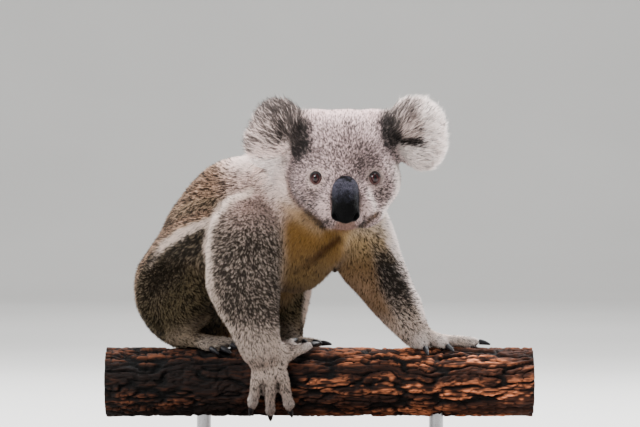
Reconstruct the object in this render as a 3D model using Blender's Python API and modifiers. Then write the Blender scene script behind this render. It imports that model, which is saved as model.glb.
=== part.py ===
"""A koala that stands on all fours on a cut length of branch, held by a plain display stand.

Units are metres and +Z is up. The origin is the middle of the stand's underside. The branch runs along X,
the koala's face looks along -Y, and its right side is towards -X. Body measures are in millimetres from the
middle of the branch's top, and in_frame() brings them into the model's frame. The shapes reach out to the
tips of the coat. The head with the trunk, and each limb, is fused from rounded masses into one smooth mesh,
and thin cuts then part it into nodes.
"""

import math

import bmesh
import bpy
import numpy as np
from mathutils import Matrix, Vector

MM = 0.001
GAP = 0.0003  # left between neighbouring nodes
SIDES = ("right", "left")

# Stand and perch, in metres
BASE_LENGTH = 0.46
BASE_DEPTH = 0.38
BASE_THICKNESS = 0.018
BASE_BEVEL = 0.003
ROD_RADIUS = 0.008
ROD_HEIGHT = 0.045
ROD_SPACING = 0.26
ROD_SINK = 0.012  # how far a rod stands in its socket in the perch
PERCH_LENGTH = 0.48
PERCH_RADIUS = 0.039
PERCH_SIDES = 32
PERCH_RINGS = 6
PERCH_WAVE = 0.004  # share of the radius that the low swellings take off
ROD_SIDES = 24
PERCH_TOP = BASE_THICKNESS + ROD_HEIGHT + 2 * PERCH_RADIUS

# How finely the masses are fused
VOXEL = 0.0024
SMALL_VOXEL = 0.0011  # for the nose pad and eyes
SOFT_STEPS = 14  # smoothing of the large masses
FINE_STEPS = 5  # smoothing after digits and face are added
CORE_TRIANGLES = 2150
ARM_TRIANGLES = 560
LEG_TRIANGLES = 480
NOSE_TRIANGLES = 300
EYE_TRIANGLES = 140

# Joints and masses, in millimetres. Left and right are the animal's own.
HEAD = Vector((27, -98, 200))
RUMP = Vector((-142, 88, 64))
LOIN = Vector((-118, 56, 95))
RIBS = Vector((-84, 15, 138))
WITHERS = Vector((-45, -25, 158))
NECK = Vector((-2, -58, 172))
SHOULDER_R, ELBOW_R, WRIST_R = Vector((-77, -62, 131)), Vector((-85, -62, 76)), Vector((-66, -50, 2))
SHOULDER_L, ELBOW_L, WRIST_L = Vector((42, -42, 132)), Vector((73, -26, 63)), Vector((109, -7, 13))
HIP_R, KNEE_R, ANKLE_R = Vector((-160, 36, 60)), Vector((-120, -2, 104)), Vector((-158, 8, 20))
HIP_L, KNEE_L, ANKLE_L = Vector((-98, 116, 62)), Vector((-34, 68, 84)), Vector((-32, 34, 26))

# The head's features, in millimetres from HEAD; x is mirrored for the other side
EYE_RADIUS = 7.6
EYE_PLACE = Vector((30.2, -35.2, -12.4))
NOSE_SIZE = Vector((14.8, 10, 26.5))
NOSE_PLACE = Vector((0, -61, -36))
NOSE_TILT = math.radians(-14)

CLAW_RADIUS = 2.9
CLAW_LENGTH = 15.0
FINGER_RADIUS = 7.0
TOE_RADIUS = 6.6

# Digits lie along the bark from root to tip, each end given as (x, turn, height): x in millimetres along the
# branch, turn in degrees from its top towards the front, and height in millimetres off the bark. A koala's
# hand has two thumbs (1 and 2), and the big toe (1) is the only digit without a claw.
DIGITS = {
    "hand_right": {
        "1": ((-46, 48, 9), (-33, 18, 8)),
        "2": ((-44, 58, 8), (-13, 24, 6)),
        "3": ((-40, 82, 8), (-34, 123, 6)),
        "4": ((-55, 84, 9), (-55, 133, 6)),
        "5": ((-70, 82, 8), (-75, 120, 6)),
    },
    "hand_left": {
        "1": ((112, 4, 9), (116, 26, 7)),
        "2": ((128, 2, 9), (139, 21, 7)),
        "3": ((124, 0, 9), (174, 0, 6)),
        "4": ((124, -6, 9), (166, -28, 6)),
        "5": ((118, -10, 9), (140, -50, 6)),
    },
    "foot_right": {
        "1": ((-146, -8, 9), (-124, -26, 7)),
        "2": ((-144, 8, 8), (-125, 27, 6)),
        "3": ((-142, 5, 9), (-113, 27, 6)),
        "4": ((-140, 2, 9), (-103, 19, 6)),
        "5": ((-140, -3, 9), (-99, 4, 6)),
    },
    "foot_left": {
        "1": ((-38, -34, 10), (-53, -20, 8)),
        "2": ((-31, -32, 9), (-31, -16, 6)),
        "3": ((-28, -32, 9), (-20, -10, 6)),
        "4": ((-25, -34, 9), (-9, -12, 6)),
        "5": ((-22, -36, 9), (-1, -20, 6)),
    },
}

COLOURS = {
    "fur_grey": ((0.27, 0.25, 0.24), 0.95),
    "fur_pale": ((0.62, 0.58, 0.54), 0.95),
    "nose_leather": ((0.022, 0.022, 0.025), 0.5),
    "eye_brown": ((0.05, 0.015, 0.01), 0.1),
    "claw_dark": ((0.03, 0.028, 0.026), 0.35),
    "bark": ((0.13, 0.06, 0.035), 0.95),
    "stand_wood": ((0.10, 0.05, 0.028), 0.5),
    "stand_steel": ((0.55, 0.55, 0.56), 0.3),
}


# ---------------------------------------------------------------- places

def in_frame(point):
    """A point in millimetres from the middle of the branch's top, in the model's frame."""
    return Vector(point) * MM + Vector((0, 0, PERCH_TOP))


def on_perch(x, turn, height):
    """The point x mm along the branch, turned towards the front by turn degrees, height mm off the bark."""
    angle = math.radians(turn)
    reach = PERCH_RADIUS / MM + height
    return Vector((x, -reach * math.sin(angle), reach * math.cos(angle) - PERCH_RADIUS / MM))


def between(start, end, share):
    return Vector(start).lerp(Vector(end), share)


# ---------------------------------------------------------------- rounded masses

def shape_of(bm):
    """The points and faces of a small bmesh, which is freed."""
    bm.verts.index_update()
    points = np.array([vertex.co for vertex in bm.verts])
    faces = [tuple(vertex.index for vertex in face.verts) for face in bm.faces]
    bm.free()
    return points, faces


def unit_ball():
    bm = bmesh.new()
    bmesh.ops.create_uvsphere(bm, u_segments=18, v_segments=10, radius=1)
    return shape_of(bm)


def cone(first, last, length):
    """A closed round shape along Z, of radius first at its foot and last at its top."""
    bm = bmesh.new()
    bmesh.ops.create_cone(bm, cap_ends=True, segments=18, radius1=first, radius2=last, depth=length)
    return shape_of(bm)


BALL = unit_ball()


class Masses:
    """Gathers rounded shapes, which may overlap, for one fused mesh."""

    def __init__(self):
        self.points, self.faces, self.count = [], [], 0

    def add(self, shape, matrix):
        points, faces = shape
        turned = points @ np.array(matrix.to_3x3()).T + np.array(matrix.translation)
        self.points.append(turned)
        self.faces += [tuple(index + self.count for index in face) for face in faces]
        self.count += len(points)

    def ball(self, centre, size, turn=None):
        """An ellipsoid. size is its radius or its three half sizes, and turn its rotation matrix."""
        sizes = (size, size, size) if isinstance(size, (int, float)) else size
        matrix = Matrix.Translation(in_frame(centre))
        if turn is not None:
            matrix = matrix @ turn.to_4x4()
        self.add(BALL, matrix @ Matrix.Diagonal((*[half * MM for half in sizes], 1)))

    def limb(self, stations):
        """A rounded tube through stations of (point, radius)."""
        for point, radius in stations:
            self.ball(point, radius)
        for (start, first), (end, last) in zip(stations, stations[1:]):
            run = (Vector(end) - Vector(start)) * MM
            if run.length < 1e-5:
                continue
            turn = run.to_track_quat("Z", "Y").to_matrix().to_4x4()
            middle = Matrix.Translation(in_frame(between(start, end, 0.5)))
            self.add(cone(first * MM, last * MM, run.length), middle @ turn)

    def digit(self, start, end, radius):
        """A finger or toe along the bark, a little thicker at its root and at its pad."""
        shares = (0, 0.25, 0.5, 0.75, 1)
        thickness = (1.1, 1.0, 0.94, 0.98, 0.9)
        self.limb([(on_perch(*between(start, end, s)), radius * t) for s, t in zip(shares, thickness)])

    def take(self, other):
        """Adds another group's shapes."""
        self.points += other.points
        self.faces += [tuple(index + self.count for index in face) for face in other.faces]
        self.count += other.count

    def mesh(self, name):
        made = bpy.data.meshes.new(name)
        made.from_pydata(np.concatenate(self.points).tolist(), [], self.faces)
        made.update()
        return made


# ---------------------------------------------------------------- scene and mesh helpers

def clear_scene():
    for obj in list(bpy.data.objects):
        bpy.data.objects.remove(obj, do_unlink=True)


def collection(name):
    made = bpy.data.collections.new(name)
    bpy.context.scene.collection.children.link(made)
    return made


def material(name):
    """The named Principled material, made the first time it is asked for."""
    if name in bpy.data.materials:
        return bpy.data.materials[name]
    colour, roughness = COLOURS[name]
    made = bpy.data.materials.new(name)
    made.use_nodes = True
    shader = made.node_tree.nodes["Principled BSDF"]
    shader.inputs["Base Color"].default_value = (*colour, 1)
    shader.inputs["Roughness"].default_value = roughness
    shader.inputs["Metallic"].default_value = 1.0 if name == "stand_steel" else 0.0
    made.diffuse_color = (*colour, 1)
    return made


def mesh_of(bm):
    """A new mesh from the bmesh, which is freed."""
    made = bpy.data.meshes.new("made")
    bm.to_mesh(made)
    bm.free()
    return made


def evaluated(data, *modifiers):
    """A new mesh: the given mesh or curve after a stack of (type, settings) modifiers."""
    obj = bpy.data.objects.new("work", data)
    bpy.context.scene.collection.objects.link(obj)
    for kind, settings in modifiers:
        modifier = obj.modifiers.new(kind.lower(), kind)
        for key, value in settings.items():
            setattr(modifier, key, value)
    bpy.context.view_layer.update()
    graph = bpy.context.evaluated_depsgraph_get()
    made = bpy.data.meshes.new_from_object(obj.evaluated_get(graph))
    bpy.data.objects.remove(obj, do_unlink=True)
    return made


def fused(mesh, voxel, steps):
    """One closed skin round all of the mesh's shapes, smoothed so that they flow into one another."""
    return evaluated(
        mesh,
        ("REMESH", {"mode": "VOXEL", "voxel_size": voxel}),
        ("SMOOTH", {"factor": 0.5, "iterations": steps}),
    )


def thinned(mesh, triangles):
    whole = evaluated(mesh, ("TRIANGULATE", {}))
    return evaluated(whole, ("DECIMATE", {"ratio": triangles / len(whole.polygons)}))


def joined(*meshes):
    bm = bmesh.new()
    for mesh in meshes:
        bm.from_mesh(mesh)
    return mesh_of(bm)


def grown(mesh, distance=GAP):
    """A copy moved out along its normals."""
    bm = bmesh.new()
    bm.from_mesh(mesh)
    bm.normal_update()
    for vertex in bm.verts:
        vertex.co += vertex.normal * distance
    return mesh_of(bm)


def without(mesh, *others):
    """mesh less each of the others, with a gap left all round, and only its largest piece kept."""
    cutters = []
    for other in others:
        cutter = bpy.data.objects.new("cutter", grown(other))
        bpy.context.scene.collection.objects.link(cutter)
        cutters.append(cutter)
    stack = [
        ("BOOLEAN", {"operation": "DIFFERENCE", "solver": "EXACT", "object": cutter}) for cutter in cutters
    ]
    made = evaluated(mesh, *stack)
    for cutter in cutters:
        bpy.data.objects.remove(cutter, do_unlink=True)
    return largest_piece(made)


def largest_piece(mesh):
    """The mesh without any but its largest connected piece."""
    bm = bmesh.new()
    bm.from_mesh(mesh)
    left, pieces = set(bm.verts), []
    while left:
        piece, edge = set(), [left.pop()]
        while edge:
            vertex = edge.pop()
            piece.add(vertex)
            for near in (link.other_vert(vertex) for link in vertex.link_edges):
                if near in left:
                    left.discard(near)
                    edge.append(near)
        pieces.append(piece)
    pieces.sort(key=len)
    for piece in pieces[:-1]:
        bmesh.ops.delete(bm, geom=list(piece), context="VERTS")
    return mesh_of(bm)


def cut(mesh, point, normal):
    """The two closed parts of the mesh on the plane's far side and near side, with a gap between them."""
    parts = []
    for side in (1, -1):
        bm = bmesh.new()
        bm.from_mesh(mesh)
        facing = Vector(normal).normalized() * side
        bmesh.ops.bisect_plane(
            bm,
            geom=bm.verts[:] + bm.edges[:] + bm.faces[:],
            dist=1e-7,
            plane_co=in_frame(point) + facing * GAP / 2,
            plane_no=facing,
            clear_inner=True,
        )
        bmesh.ops.holes_fill(bm, edges=[edge for edge in bm.edges if edge.is_boundary], sides=0)
        bmesh.ops.recalc_face_normals(bm, faces=bm.faces[:])
        parts.append(mesh_of(bm))
    return parts


# ---------------------------------------------------------------- the koala's masses

def trunk_and_neck():
    made = Masses()
    made.limb([(RUMP, 74), (LOIN, 77), (RIBS, 77), (WITHERS, 64), (NECK, 55)])
    made.ball((-78, 30, 100), 64)  # belly
    made.ball((-38, -32, 116), 54)  # breastbone
    made.ball((-4, -54, 138), 50)  # breast
    made.limb([(NECK, 55), (HEAD + Vector((0, 14, -2)), 52)])
    return made


def head_masses():
    made = Masses()

    def part(centre, size):
        made.ball(HEAD + Vector(centre), size)

    part((0, 8, 8), (56, 58, 56))  # cranium
    part((0, -16, 14), (46, 37, 43))  # forehead
    part((0, -34, -9), (22, 20, 30))  # bridge of the nose
    part((0, -42, -34), (29, 26, 26))  # muzzle
    part((0, -38, -54), (22, 23, 16))  # chin
    for side in (-1, 1):
        part((side * 33, 8, 31), (34, 32, 34))  # crown beside the ear
        part((side * 29, -4, -14), 34)  # cheek
        part((side * 31, -24, -6), (20, 18, 20))  # round the eye
        part((side * 21, -16, -42), (26, 28, 26))  # jaw
        part((side * 17, -44, -42), (16, 19, 17))  # whisker pad
    return made


def ear_masses():
    """Round ears of equal build. The right one is laid back a little further, and its lobe hangs outwards."""
    made = Masses()
    for side, turn, main, lobe in (
        (1, 16, ((77, 12, 41), (35, 15, 37)), ((83, 14, 26), (29, 14, 31))),
        (-1, -22, ((-73, 14, 40), (32, 15, 36)), ((-81, 16, 27), (31, 14, 29))),
    ):
        rotation = Matrix.Rotation(math.radians(turn), 3, "Z")
        for centre, size in (main, lobe):
            made.ball(HEAD + Vector(centre), size, rotation)
        made.ball(HEAD + Vector((side * 50, 8, 32)), (20, 18, 28))  # root
    return made


def arm_masses(side):
    """The large and fine masses of an arm. The right hangs down the branch, the left reaches along it."""
    large, fine = Masses(), Masses()
    if side == "right":
        large.limb([
            (SHOULDER_R, 45), (between(SHOULDER_R, ELBOW_R, 0.4), 46), (ELBOW_R, 42),
            (between(ELBOW_R, WRIST_R, 0.3), 37), (between(ELBOW_R, WRIST_R, 0.6), 30), (WRIST_R, 24.5),
        ])
        fine.limb([(WRIST_R, 22), (on_perch(-59, 47, 15), 20)])
        fine.ball(on_perch(-57, 62, 10), (22, 13, 19))
        fine.ball(on_perch(-55, 78, 9), (21, 11, 14))
    else:
        large.limb([
            (SHOULDER_L, 39), (between(SHOULDER_L, ELBOW_L, 0.5), 35), (ELBOW_L, 28),
            (between(ELBOW_L, WRIST_L, 0.5), 24), (WRIST_L, 18),
        ])
        fine.limb([(WRIST_L, 15), (on_perch(118, 0, 10), 12)])
        fine.ball(on_perch(120, 1, 9), (18, 15, 10))
    for start, end in DIGITS["hand_" + side].values():
        fine.digit(start, end, FINGER_RADIUS)
    return large, fine


def leg_masses(side):
    large, fine = Masses(), Masses()
    if side == "right":
        large.limb([(HIP_R, 50), (KNEE_R, 30), (between(KNEE_R, ANKLE_R, 0.5), 29), (ANKLE_R, 17)])
        large.ball((-150, 18, 52), 37)
        fine.limb([(ANKLE_R, 15), (on_perch(-162, -8, 12), 13), (on_perch(-146, 2, 10), 12)])
    else:
        large.limb([(HIP_L, 50), (KNEE_L, 30), (between(KNEE_L, ANKLE_L, 0.5), 24), (ANKLE_L, 17)])
        fine.limb([(ANKLE_L, 15), (on_perch(-34, -46, 13), 13), (on_perch(-30, -30, 10), 12)])
    for name, (start, end) in DIGITS["foot_" + side].items():
        fine.digit(start, end, TOE_RADIUS * (1.15 if name == "1" else 1.0))
    return large, fine


def body_part(large, fine, triangles):
    """Large masses fused softly, then fused with the fine ones, at about the given number of triangles."""
    soft = fused(large.mesh("large"), 2 * VOXEL, SOFT_STEPS)
    return thinned(fused(joined(soft, fine.mesh("fine")), VOXEL, FINE_STEPS), triangles)


def core_part():
    """The head with the neck and trunk. The ears are smoothed less, as they are thin."""
    large = trunk_and_neck()
    large.take(head_masses())
    return body_part(large, ear_masses(), CORE_TRIANGLES)


# ---------------------------------------------------------------- eyes, nose and claws

def tapering_tube(points, radii):
    """A closed tube along a curved line of points in the model's frame, with a radius for each point."""
    curve = bpy.data.curves.new("tube", "CURVE")
    curve.dimensions = "3D"
    curve.bevel_depth = 1.0
    curve.bevel_resolution = 1
    curve.use_fill_caps = True
    spline = curve.splines.new("POLY")
    spline.points.add(len(points) - 1)
    for place, point, radius in zip(spline.points, points, radii):
        place.co = (*point, 1)
        place.radius = radius
    bm = bmesh.new()
    bm.from_mesh(evaluated(curve))
    bmesh.ops.remove_doubles(bm, verts=bm.verts[:], dist=1e-6)
    bmesh.ops.recalc_face_normals(bm, faces=bm.faces[:])
    return mesh_of(bm)


def claw(start, end):
    """A claw that goes on from a digit's tip and bends towards the bark."""
    x, turn, height = end
    run = on_perch(*end) - on_perch(*between(start, end, 0.7))
    step = run.normalized() * CLAW_LENGTH / 4
    inward = (on_perch(x, turn, 0) - on_perch(*end)).normalized()
    points, place = [], on_perch(*end) + step * 0.4
    for index in range(5):
        points.append(in_frame(place))
        place = place + step + inward * (0.35 * index)
    return tapering_tube(points, [CLAW_RADIUS * MM * share for share in (1.1, 1.05, 0.88, 0.6, 0.22)])


def eye(side):
    made = Masses()
    place = EYE_PLACE.copy()
    place.x *= side
    made.ball(HEAD + place, EYE_RADIUS)
    return thinned(fused(made.mesh("eye"), SMALL_VOXEL, 2), EYE_TRIANGLES)


def nose():
    """The bare nose pad: taller than it is wide, with a swelling round each nostril at its foot."""
    tilt = Matrix.Rotation(NOSE_TILT, 3, "X")
    pad, holes = Masses(), Masses()
    pad.ball(HEAD + NOSE_PLACE, NOSE_SIZE, tilt)
    pad.ball(HEAD + NOSE_PLACE + Vector((0, 3, 9)), (12.4, 8, 17.5), tilt)
    for side in (-1, 1):
        pad.ball(HEAD + NOSE_PLACE + Vector((side * 7.2, -1.5, -14)), (7.6, 8, 9.5), tilt)
        turned = Matrix.Rotation(side * math.radians(34), 3, "Y")
        holes.ball(HEAD + NOSE_PLACE + Vector((side * 10.2, -9, -17)), (1.6, 5, 4.2), turned)
    solid = thinned(fused(pad.mesh("pad"), SMALL_VOXEL, 6), NOSE_TRIANGLES)
    return without(solid, holes.mesh("holes"))


# ---------------------------------------------------------------- perch and stand

def cylinder(radius, length, sides, matrix):
    """A bmesh with a capped cylinder, whose axis is Z before the matrix turns it."""
    bm = bmesh.new()
    bmesh.ops.create_cone(
        bm, cap_ends=True, segments=sides, radius1=radius, radius2=radius, depth=length, matrix=matrix
    )
    return bm


def perch():
    """A cut length of branch along X, a little uneven along its length and round its girth."""
    bm = cylinder(PERCH_RADIUS, PERCH_LENGTH, PERCH_SIDES, Matrix.Rotation(math.pi / 2, 4, "Y"))
    for ring in range(1, PERCH_RINGS):
        x = PERCH_LENGTH * (ring / PERCH_RINGS - 0.5)
        everything = bm.verts[:] + bm.edges[:] + bm.faces[:]
        bmesh.ops.bisect_plane(bm, geom=everything, dist=1e-7, plane_co=(x, 0, 0), plane_no=(1, 0, 0))
    for vertex in bm.verts:
        x, y, z = vertex.co
        wave = math.sin(31 * x) + math.sin(3 * math.atan2(y, z) + 17 * x)
        vertex.co.yz = Vector((y, z)) * (1 - PERCH_WAVE * (2 + wave))
    bmesh.ops.translate(bm, verts=bm.verts[:], vec=(0, 0, PERCH_TOP - PERCH_RADIUS))
    return mesh_of(bm)


def rod(x):
    length = ROD_HEIGHT + ROD_SINK
    middle = Vector((x, 0, BASE_THICKNESS + GAP + length / 2))
    return mesh_of(cylinder(ROD_RADIUS, length, ROD_SIDES, Matrix.Translation(middle)))


def base():
    bm = bmesh.new()
    size = Matrix.Diagonal((BASE_LENGTH, BASE_DEPTH, BASE_THICKNESS, 1))
    bmesh.ops.create_cube(bm, size=1, matrix=Matrix.Translation((0, 0, BASE_THICKNESS / 2)) @ size)
    top = [edge for edge in bm.edges if sum(vertex.co.z > BASE_THICKNESS / 2 for vertex in edge.verts) > 0]
    bmesh.ops.bevel(bm, geom=top, offset=BASE_BEVEL, segments=2, affect="EDGES", profile=0.5)
    return mesh_of(bm)


# ---------------------------------------------------------------- the model

# Where the fused meshes part, as (point, normal towards the first of the two parts)
HEAD_CUT = ((6, -58, 174), (0.35, -0.62, 0.70))
NECK_CUT = ((-20, -42, 170), (0.45, -0.45, 0.77))
EAR_CUT = ((55, 10, 38), (0.9, -0.12, 0.42))  # from HEAD, mirrored for the right ear
LIMB_CUTS = {
    "arm_right": ((ELBOW_R, (-0.1, -0.15, 1)), ((-68, -51, 13), (-0.15, -0.1, 1))),
    "arm_left": ((ELBOW_L, (-0.56, -0.3, 0.78)), ((104, -9, 20), (-0.6, -0.3, 0.74))),
    "leg_right": (((-150, 4, 50), (-0.29, 0.80, 0.53)), ((-156, 6, 22), (-0.4, 0.08, 0.91))),
    "leg_left": ((KNEE_L, (-0.51, 0.77, 0.38)), ((-32, 32, 24), (-0.15, 0.3, 0.94))),
}
LIMB_PARTS = {"arm": ("upper_arm", "forearm", "hand"), "leg": ("thigh", "shank", "foot")}


def limb_meshes(kind, side, limb, perch_mesh):
    """The limb's three parts and its claws."""
    first, second = LIMB_CUTS[f"{kind}_{side}"]
    top, rest = cut(limb, *first)
    middle, end = cut(rest, *second)
    meshes = {f"{part}_{side}": mesh for part, mesh in zip(LIMB_PARTS[kind], (top, middle, end))}
    paw = f"{LIMB_PARTS[kind][2]}_{side}"
    for digit, (start, tip) in DIGITS[paw].items():
        if kind == "arm" or digit != "1":
            meshes[f"claw_{paw}_{digit}"] = without(claw(start, tip), meshes[paw], perch_mesh)
    return meshes


def koala_meshes(perch_mesh):
    core = core_part()
    head, body = cut(core, *HEAD_CUT)
    meshes = {"nose": nose(), "eye_left": eye(1), "eye_right": eye(-1)}
    meshes["neck"], meshes["trunk"] = cut(body, *NECK_CUT)
    for side, sign in (("left", 1), ("right", -1)):
        point, normal = (Vector((sign * x, y, z)) for x, y, z in EAR_CUT)
        meshes["ear_" + side], head = cut(head, HEAD + point, normal)
    meshes["head"] = without(head, meshes["eye_left"], meshes["eye_right"], meshes["nose"])
    for side in SIDES:
        arm = without(body_part(*arm_masses(side), ARM_TRIANGLES), core, perch_mesh)
        leg = without(body_part(*leg_masses(side), LEG_TRIANGLES), core, perch_mesh, arm)
        meshes |= limb_meshes("arm", side, arm, perch_mesh)
        meshes |= limb_meshes("leg", side, leg, perch_mesh)
    return meshes


# The start of a node's name and its material
LOOKS = {
    "nose": "nose_leather", "eye": "eye_brown", "claw": "claw_dark", "hand": "fur_pale", "foot": "fur_pale",
    "perch": "bark", "stand_base": "stand_wood", "stand_rod": "stand_steel",
}


def look_of(name):
    return next((look for start, look in LOOKS.items() if name.startswith(start)), "fur_grey")


def main():
    clear_scene()
    rods = {"stand_rod_left": rod(ROD_SPACING / 2), "stand_rod_right": rod(-ROD_SPACING / 2)}
    whole_perch = perch()
    meshes = koala_meshes(whole_perch) | rods
    meshes["perch"] = without(whole_perch, *rods.values())
    meshes["stand_base"] = base()
    shown = collection("koala")
    for name, mesh in meshes.items():
        mesh.name = name
        mesh.materials.clear()
        mesh.materials.append(material(look_of(name)))
        shown.objects.link(bpy.data.objects.new(name, mesh))


main()
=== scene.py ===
"""A life-size koala climbing over a cut length of log on a display stand: its looks.

One skin replaces the flesh solids and lies inside them by the depth of the coat. The coat is
solid mesh tufts that follow the lie of the fur and reach out to the solids' surface. The camera
looks along +y. Lengths are in metres, apart from tables that say millimetres and from names
ending in _mm or _MM.
"""

import itertools
import math

import bmesh
import bpy
import numpy as np
from mathutils import Matrix, Vector
from mathutils.bvhtree import BVHTree


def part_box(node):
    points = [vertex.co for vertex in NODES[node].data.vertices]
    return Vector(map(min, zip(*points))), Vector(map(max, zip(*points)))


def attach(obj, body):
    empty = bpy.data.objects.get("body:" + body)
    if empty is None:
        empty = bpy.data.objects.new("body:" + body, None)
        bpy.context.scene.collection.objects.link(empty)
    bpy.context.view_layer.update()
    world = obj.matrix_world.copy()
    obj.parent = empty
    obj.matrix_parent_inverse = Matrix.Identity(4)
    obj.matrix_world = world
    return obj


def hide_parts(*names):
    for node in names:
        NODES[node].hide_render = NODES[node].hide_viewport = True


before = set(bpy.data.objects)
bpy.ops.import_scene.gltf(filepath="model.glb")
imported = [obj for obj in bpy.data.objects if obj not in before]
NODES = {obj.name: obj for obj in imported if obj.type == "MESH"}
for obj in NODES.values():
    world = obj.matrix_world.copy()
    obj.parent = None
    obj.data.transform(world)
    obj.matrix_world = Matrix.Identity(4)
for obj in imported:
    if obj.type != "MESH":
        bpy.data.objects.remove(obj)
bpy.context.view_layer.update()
RANDOM = np.random.default_rng(20260)
MM = 0.001
SIDES = ("left", "right")

HANDS, FEET, EARS, EYES = (
    [f"{part}_{side}" for side in SIDES] for part in ("hand", "foot", "ear", "eye")
)
ARMS = [f"{part}_{side}" for part in ("upper_arm", "forearm") for side in SIDES]
LEGS = [f"{part}_{side}" for part in ("thigh", "shank") for side in SIDES]
FLESH = ["trunk", "neck", "head", *EARS, *ARMS, *HANDS, *LEGS, *FEET]
CLAWS = sorted(name for name in NODES if name.startswith("claw_"))
CENTRE = {name: np.array(sum(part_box(name), Vector())) / 2 for name in NODES}
HALF = {name: np.array(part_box(name)[1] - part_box(name)[0]) / 2 for name in NODES}

# ---------------- camera

CAMERA_DISTANCE = 3.0
CAMERA_HEIGHT = 0.2905
VIEW_WIDTH = 0.7168  # what the frame's width takes in at the origin


def add_camera():
    data = bpy.data.cameras.new("camera")
    data.sensor_width = 36.0
    data.lens = data.sensor_width * CAMERA_DISTANCE / VIEW_WIDTH
    data.clip_start, data.clip_end = 0.05, 60.0
    camera = linked("camera", data)
    camera.location = (0.0, -CAMERA_DISTANCE, CAMERA_HEIGHT)
    camera.rotation_euler = (math.radians(90), 0.0, 0.0)
    bpy.context.scene.camera = camera


# ---------------- numbers and arrays


def step(values, low, high):
    """0 below low, 1 above high, and smooth between them. low may be the larger one."""
    share = np.clip((values - low) / (high - low), 0.0, 1.0)
    return share * share * (3.0 - 2.0 * share)


def near(points, centre, inner, outer):
    """1 within inner of the centre and 0 beyond outer."""
    return step(np.linalg.norm(points - centre, axis=1), outer, inner)


def unit(vectors):
    length = np.linalg.norm(vectors, axis=-1, keepdims=True)
    return vectors / np.maximum(length, 1e-9)


def flattened(vectors, normals):
    """The vectors without their part along the normals, at unit length."""
    return unit(vectors - normals * np.sum(vectors * normals, axis=1, keepdims=True))


def mixed(first, second, share):
    return first + (second - first) * np.asarray(share)[:, None]


def shade(red, green, blue):
    """A colour written as 0 to 255 numbers, as linear light."""
    value = np.array((red, green, blue)) / 255.0
    return np.where(value <= 0.04045, value / 12.92, ((value + 0.055) / 1.055) ** 2.4)


def hashed(cells, seed):
    """A number from 0 to 1 for each whole-numbered cell, mixed by large primes."""
    x, y, z = cells.T
    bits = (x * 73856093) ^ (y * 19349663) ^ (z * 83492791) ^ (seed * 2654435761)
    bits = ((bits ^ (bits >> 13)) * 1274126177) & 0x7FFFFFFF
    return ((bits >> 8) % 65536) / 65535.0


def noise(points, size, seed):
    """Smooth noise from 0 to 1 that changes over `size` metres."""
    cell = points / size + 31.7 * (seed + 1)
    corner = np.floor(cell).astype(np.int64)
    share = step(cell - corner, 0.0, 1.0)
    total = np.zeros(len(points))
    for offset in itertools.product((0, 1), repeat=3):
        weight = np.prod(np.where(offset, share, 1.0 - share), axis=1)
        total += weight * hashed(corner + offset, seed)
    return total


# ---------------- meshes


def mesh_from(name, vertices, faces):
    """A smooth mesh from arrays of places and of faces that all have as many corners."""
    mesh = bpy.data.meshes.new(name)
    mesh.vertices.add(len(vertices))
    mesh.vertices.foreach_set("co", np.asarray(vertices, np.float32).ravel())
    mesh.loops.add(faces.size)
    mesh.loops.foreach_set("vertex_index", faces.astype(np.int32).ravel())
    mesh.polygons.add(len(faces))
    starts = np.arange(0, faces.size, faces.shape[1], dtype=np.int32)
    mesh.polygons.foreach_set("loop_start", starts)
    mesh.polygons.foreach_set("use_smooth", np.ones(len(faces), bool))
    mesh.update(calc_edges=True)
    return mesh


def linked(name, data):
    obj = bpy.data.objects.new(name, data)
    bpy.context.scene.collection.objects.link(obj)
    return obj


def piece(mesh, material, replaced, turn=None):
    """Adds a mesh to the model in place of these nodes, moved and turned by a matrix if given."""
    obj = linked(mesh.name, mesh)
    mesh.materials.append(material)
    if turn is not None:
        obj.matrix_world = turn
    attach(obj, "root")
    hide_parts(*replaced)


def joined(parts):
    """The places and faces of several meshes as one."""
    places, faces = zip(*parts)
    first = np.cumsum([0, *(len(part) for part in places)])
    return np.concatenate(places), np.concatenate([f + n for f, n in zip(faces, first)])


def grid_faces(rows, columns, closed=False):
    """Quads between a grid's points. Each row runs round, and so do the columns if closed."""
    here = np.arange(rows * columns).reshape(rows, columns)
    if closed:
        here = np.concatenate([here, here[:1]])
    there = np.roll(here, -1, axis=1)
    return np.stack([here[:-1], there[:-1], there[1:], here[1:]], axis=2).reshape(-1, 4)


def revolved(profile, around):
    """Places and quads of a surface of (radius, height) points turned round the z axis."""
    angle = np.linspace(0, 2 * math.pi, around, endpoint=False)
    rings = [
        np.stack([r * np.cos(angle), r * np.sin(angle), np.full(around, z)], axis=1)
        for r, z in profile
    ]
    return np.concatenate(rings), grid_faces(len(profile), around)


def node_arrays(name, growth=0.0):
    """Vertices and triangles of a CAD node's copy, grown outwards, without doubled vertices."""
    work = bmesh.new()
    work.from_mesh(NODES[name].data)
    bmesh.ops.remove_doubles(work, verts=work.verts, dist=1e-6)
    bmesh.ops.triangulate(work, faces=work.faces)
    work.normal_update()
    vertices = np.array([v.co for v in work.verts])
    normals = np.array([v.normal for v in work.verts])
    faces = np.array([[v.index for v in face.verts] for face in work.faces])
    work.free()
    return vertices + normals * growth, faces


def search_tree(vertices, faces):
    return BVHTree.FromPolygons(vertices.tolist(), faces.tolist())


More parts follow.
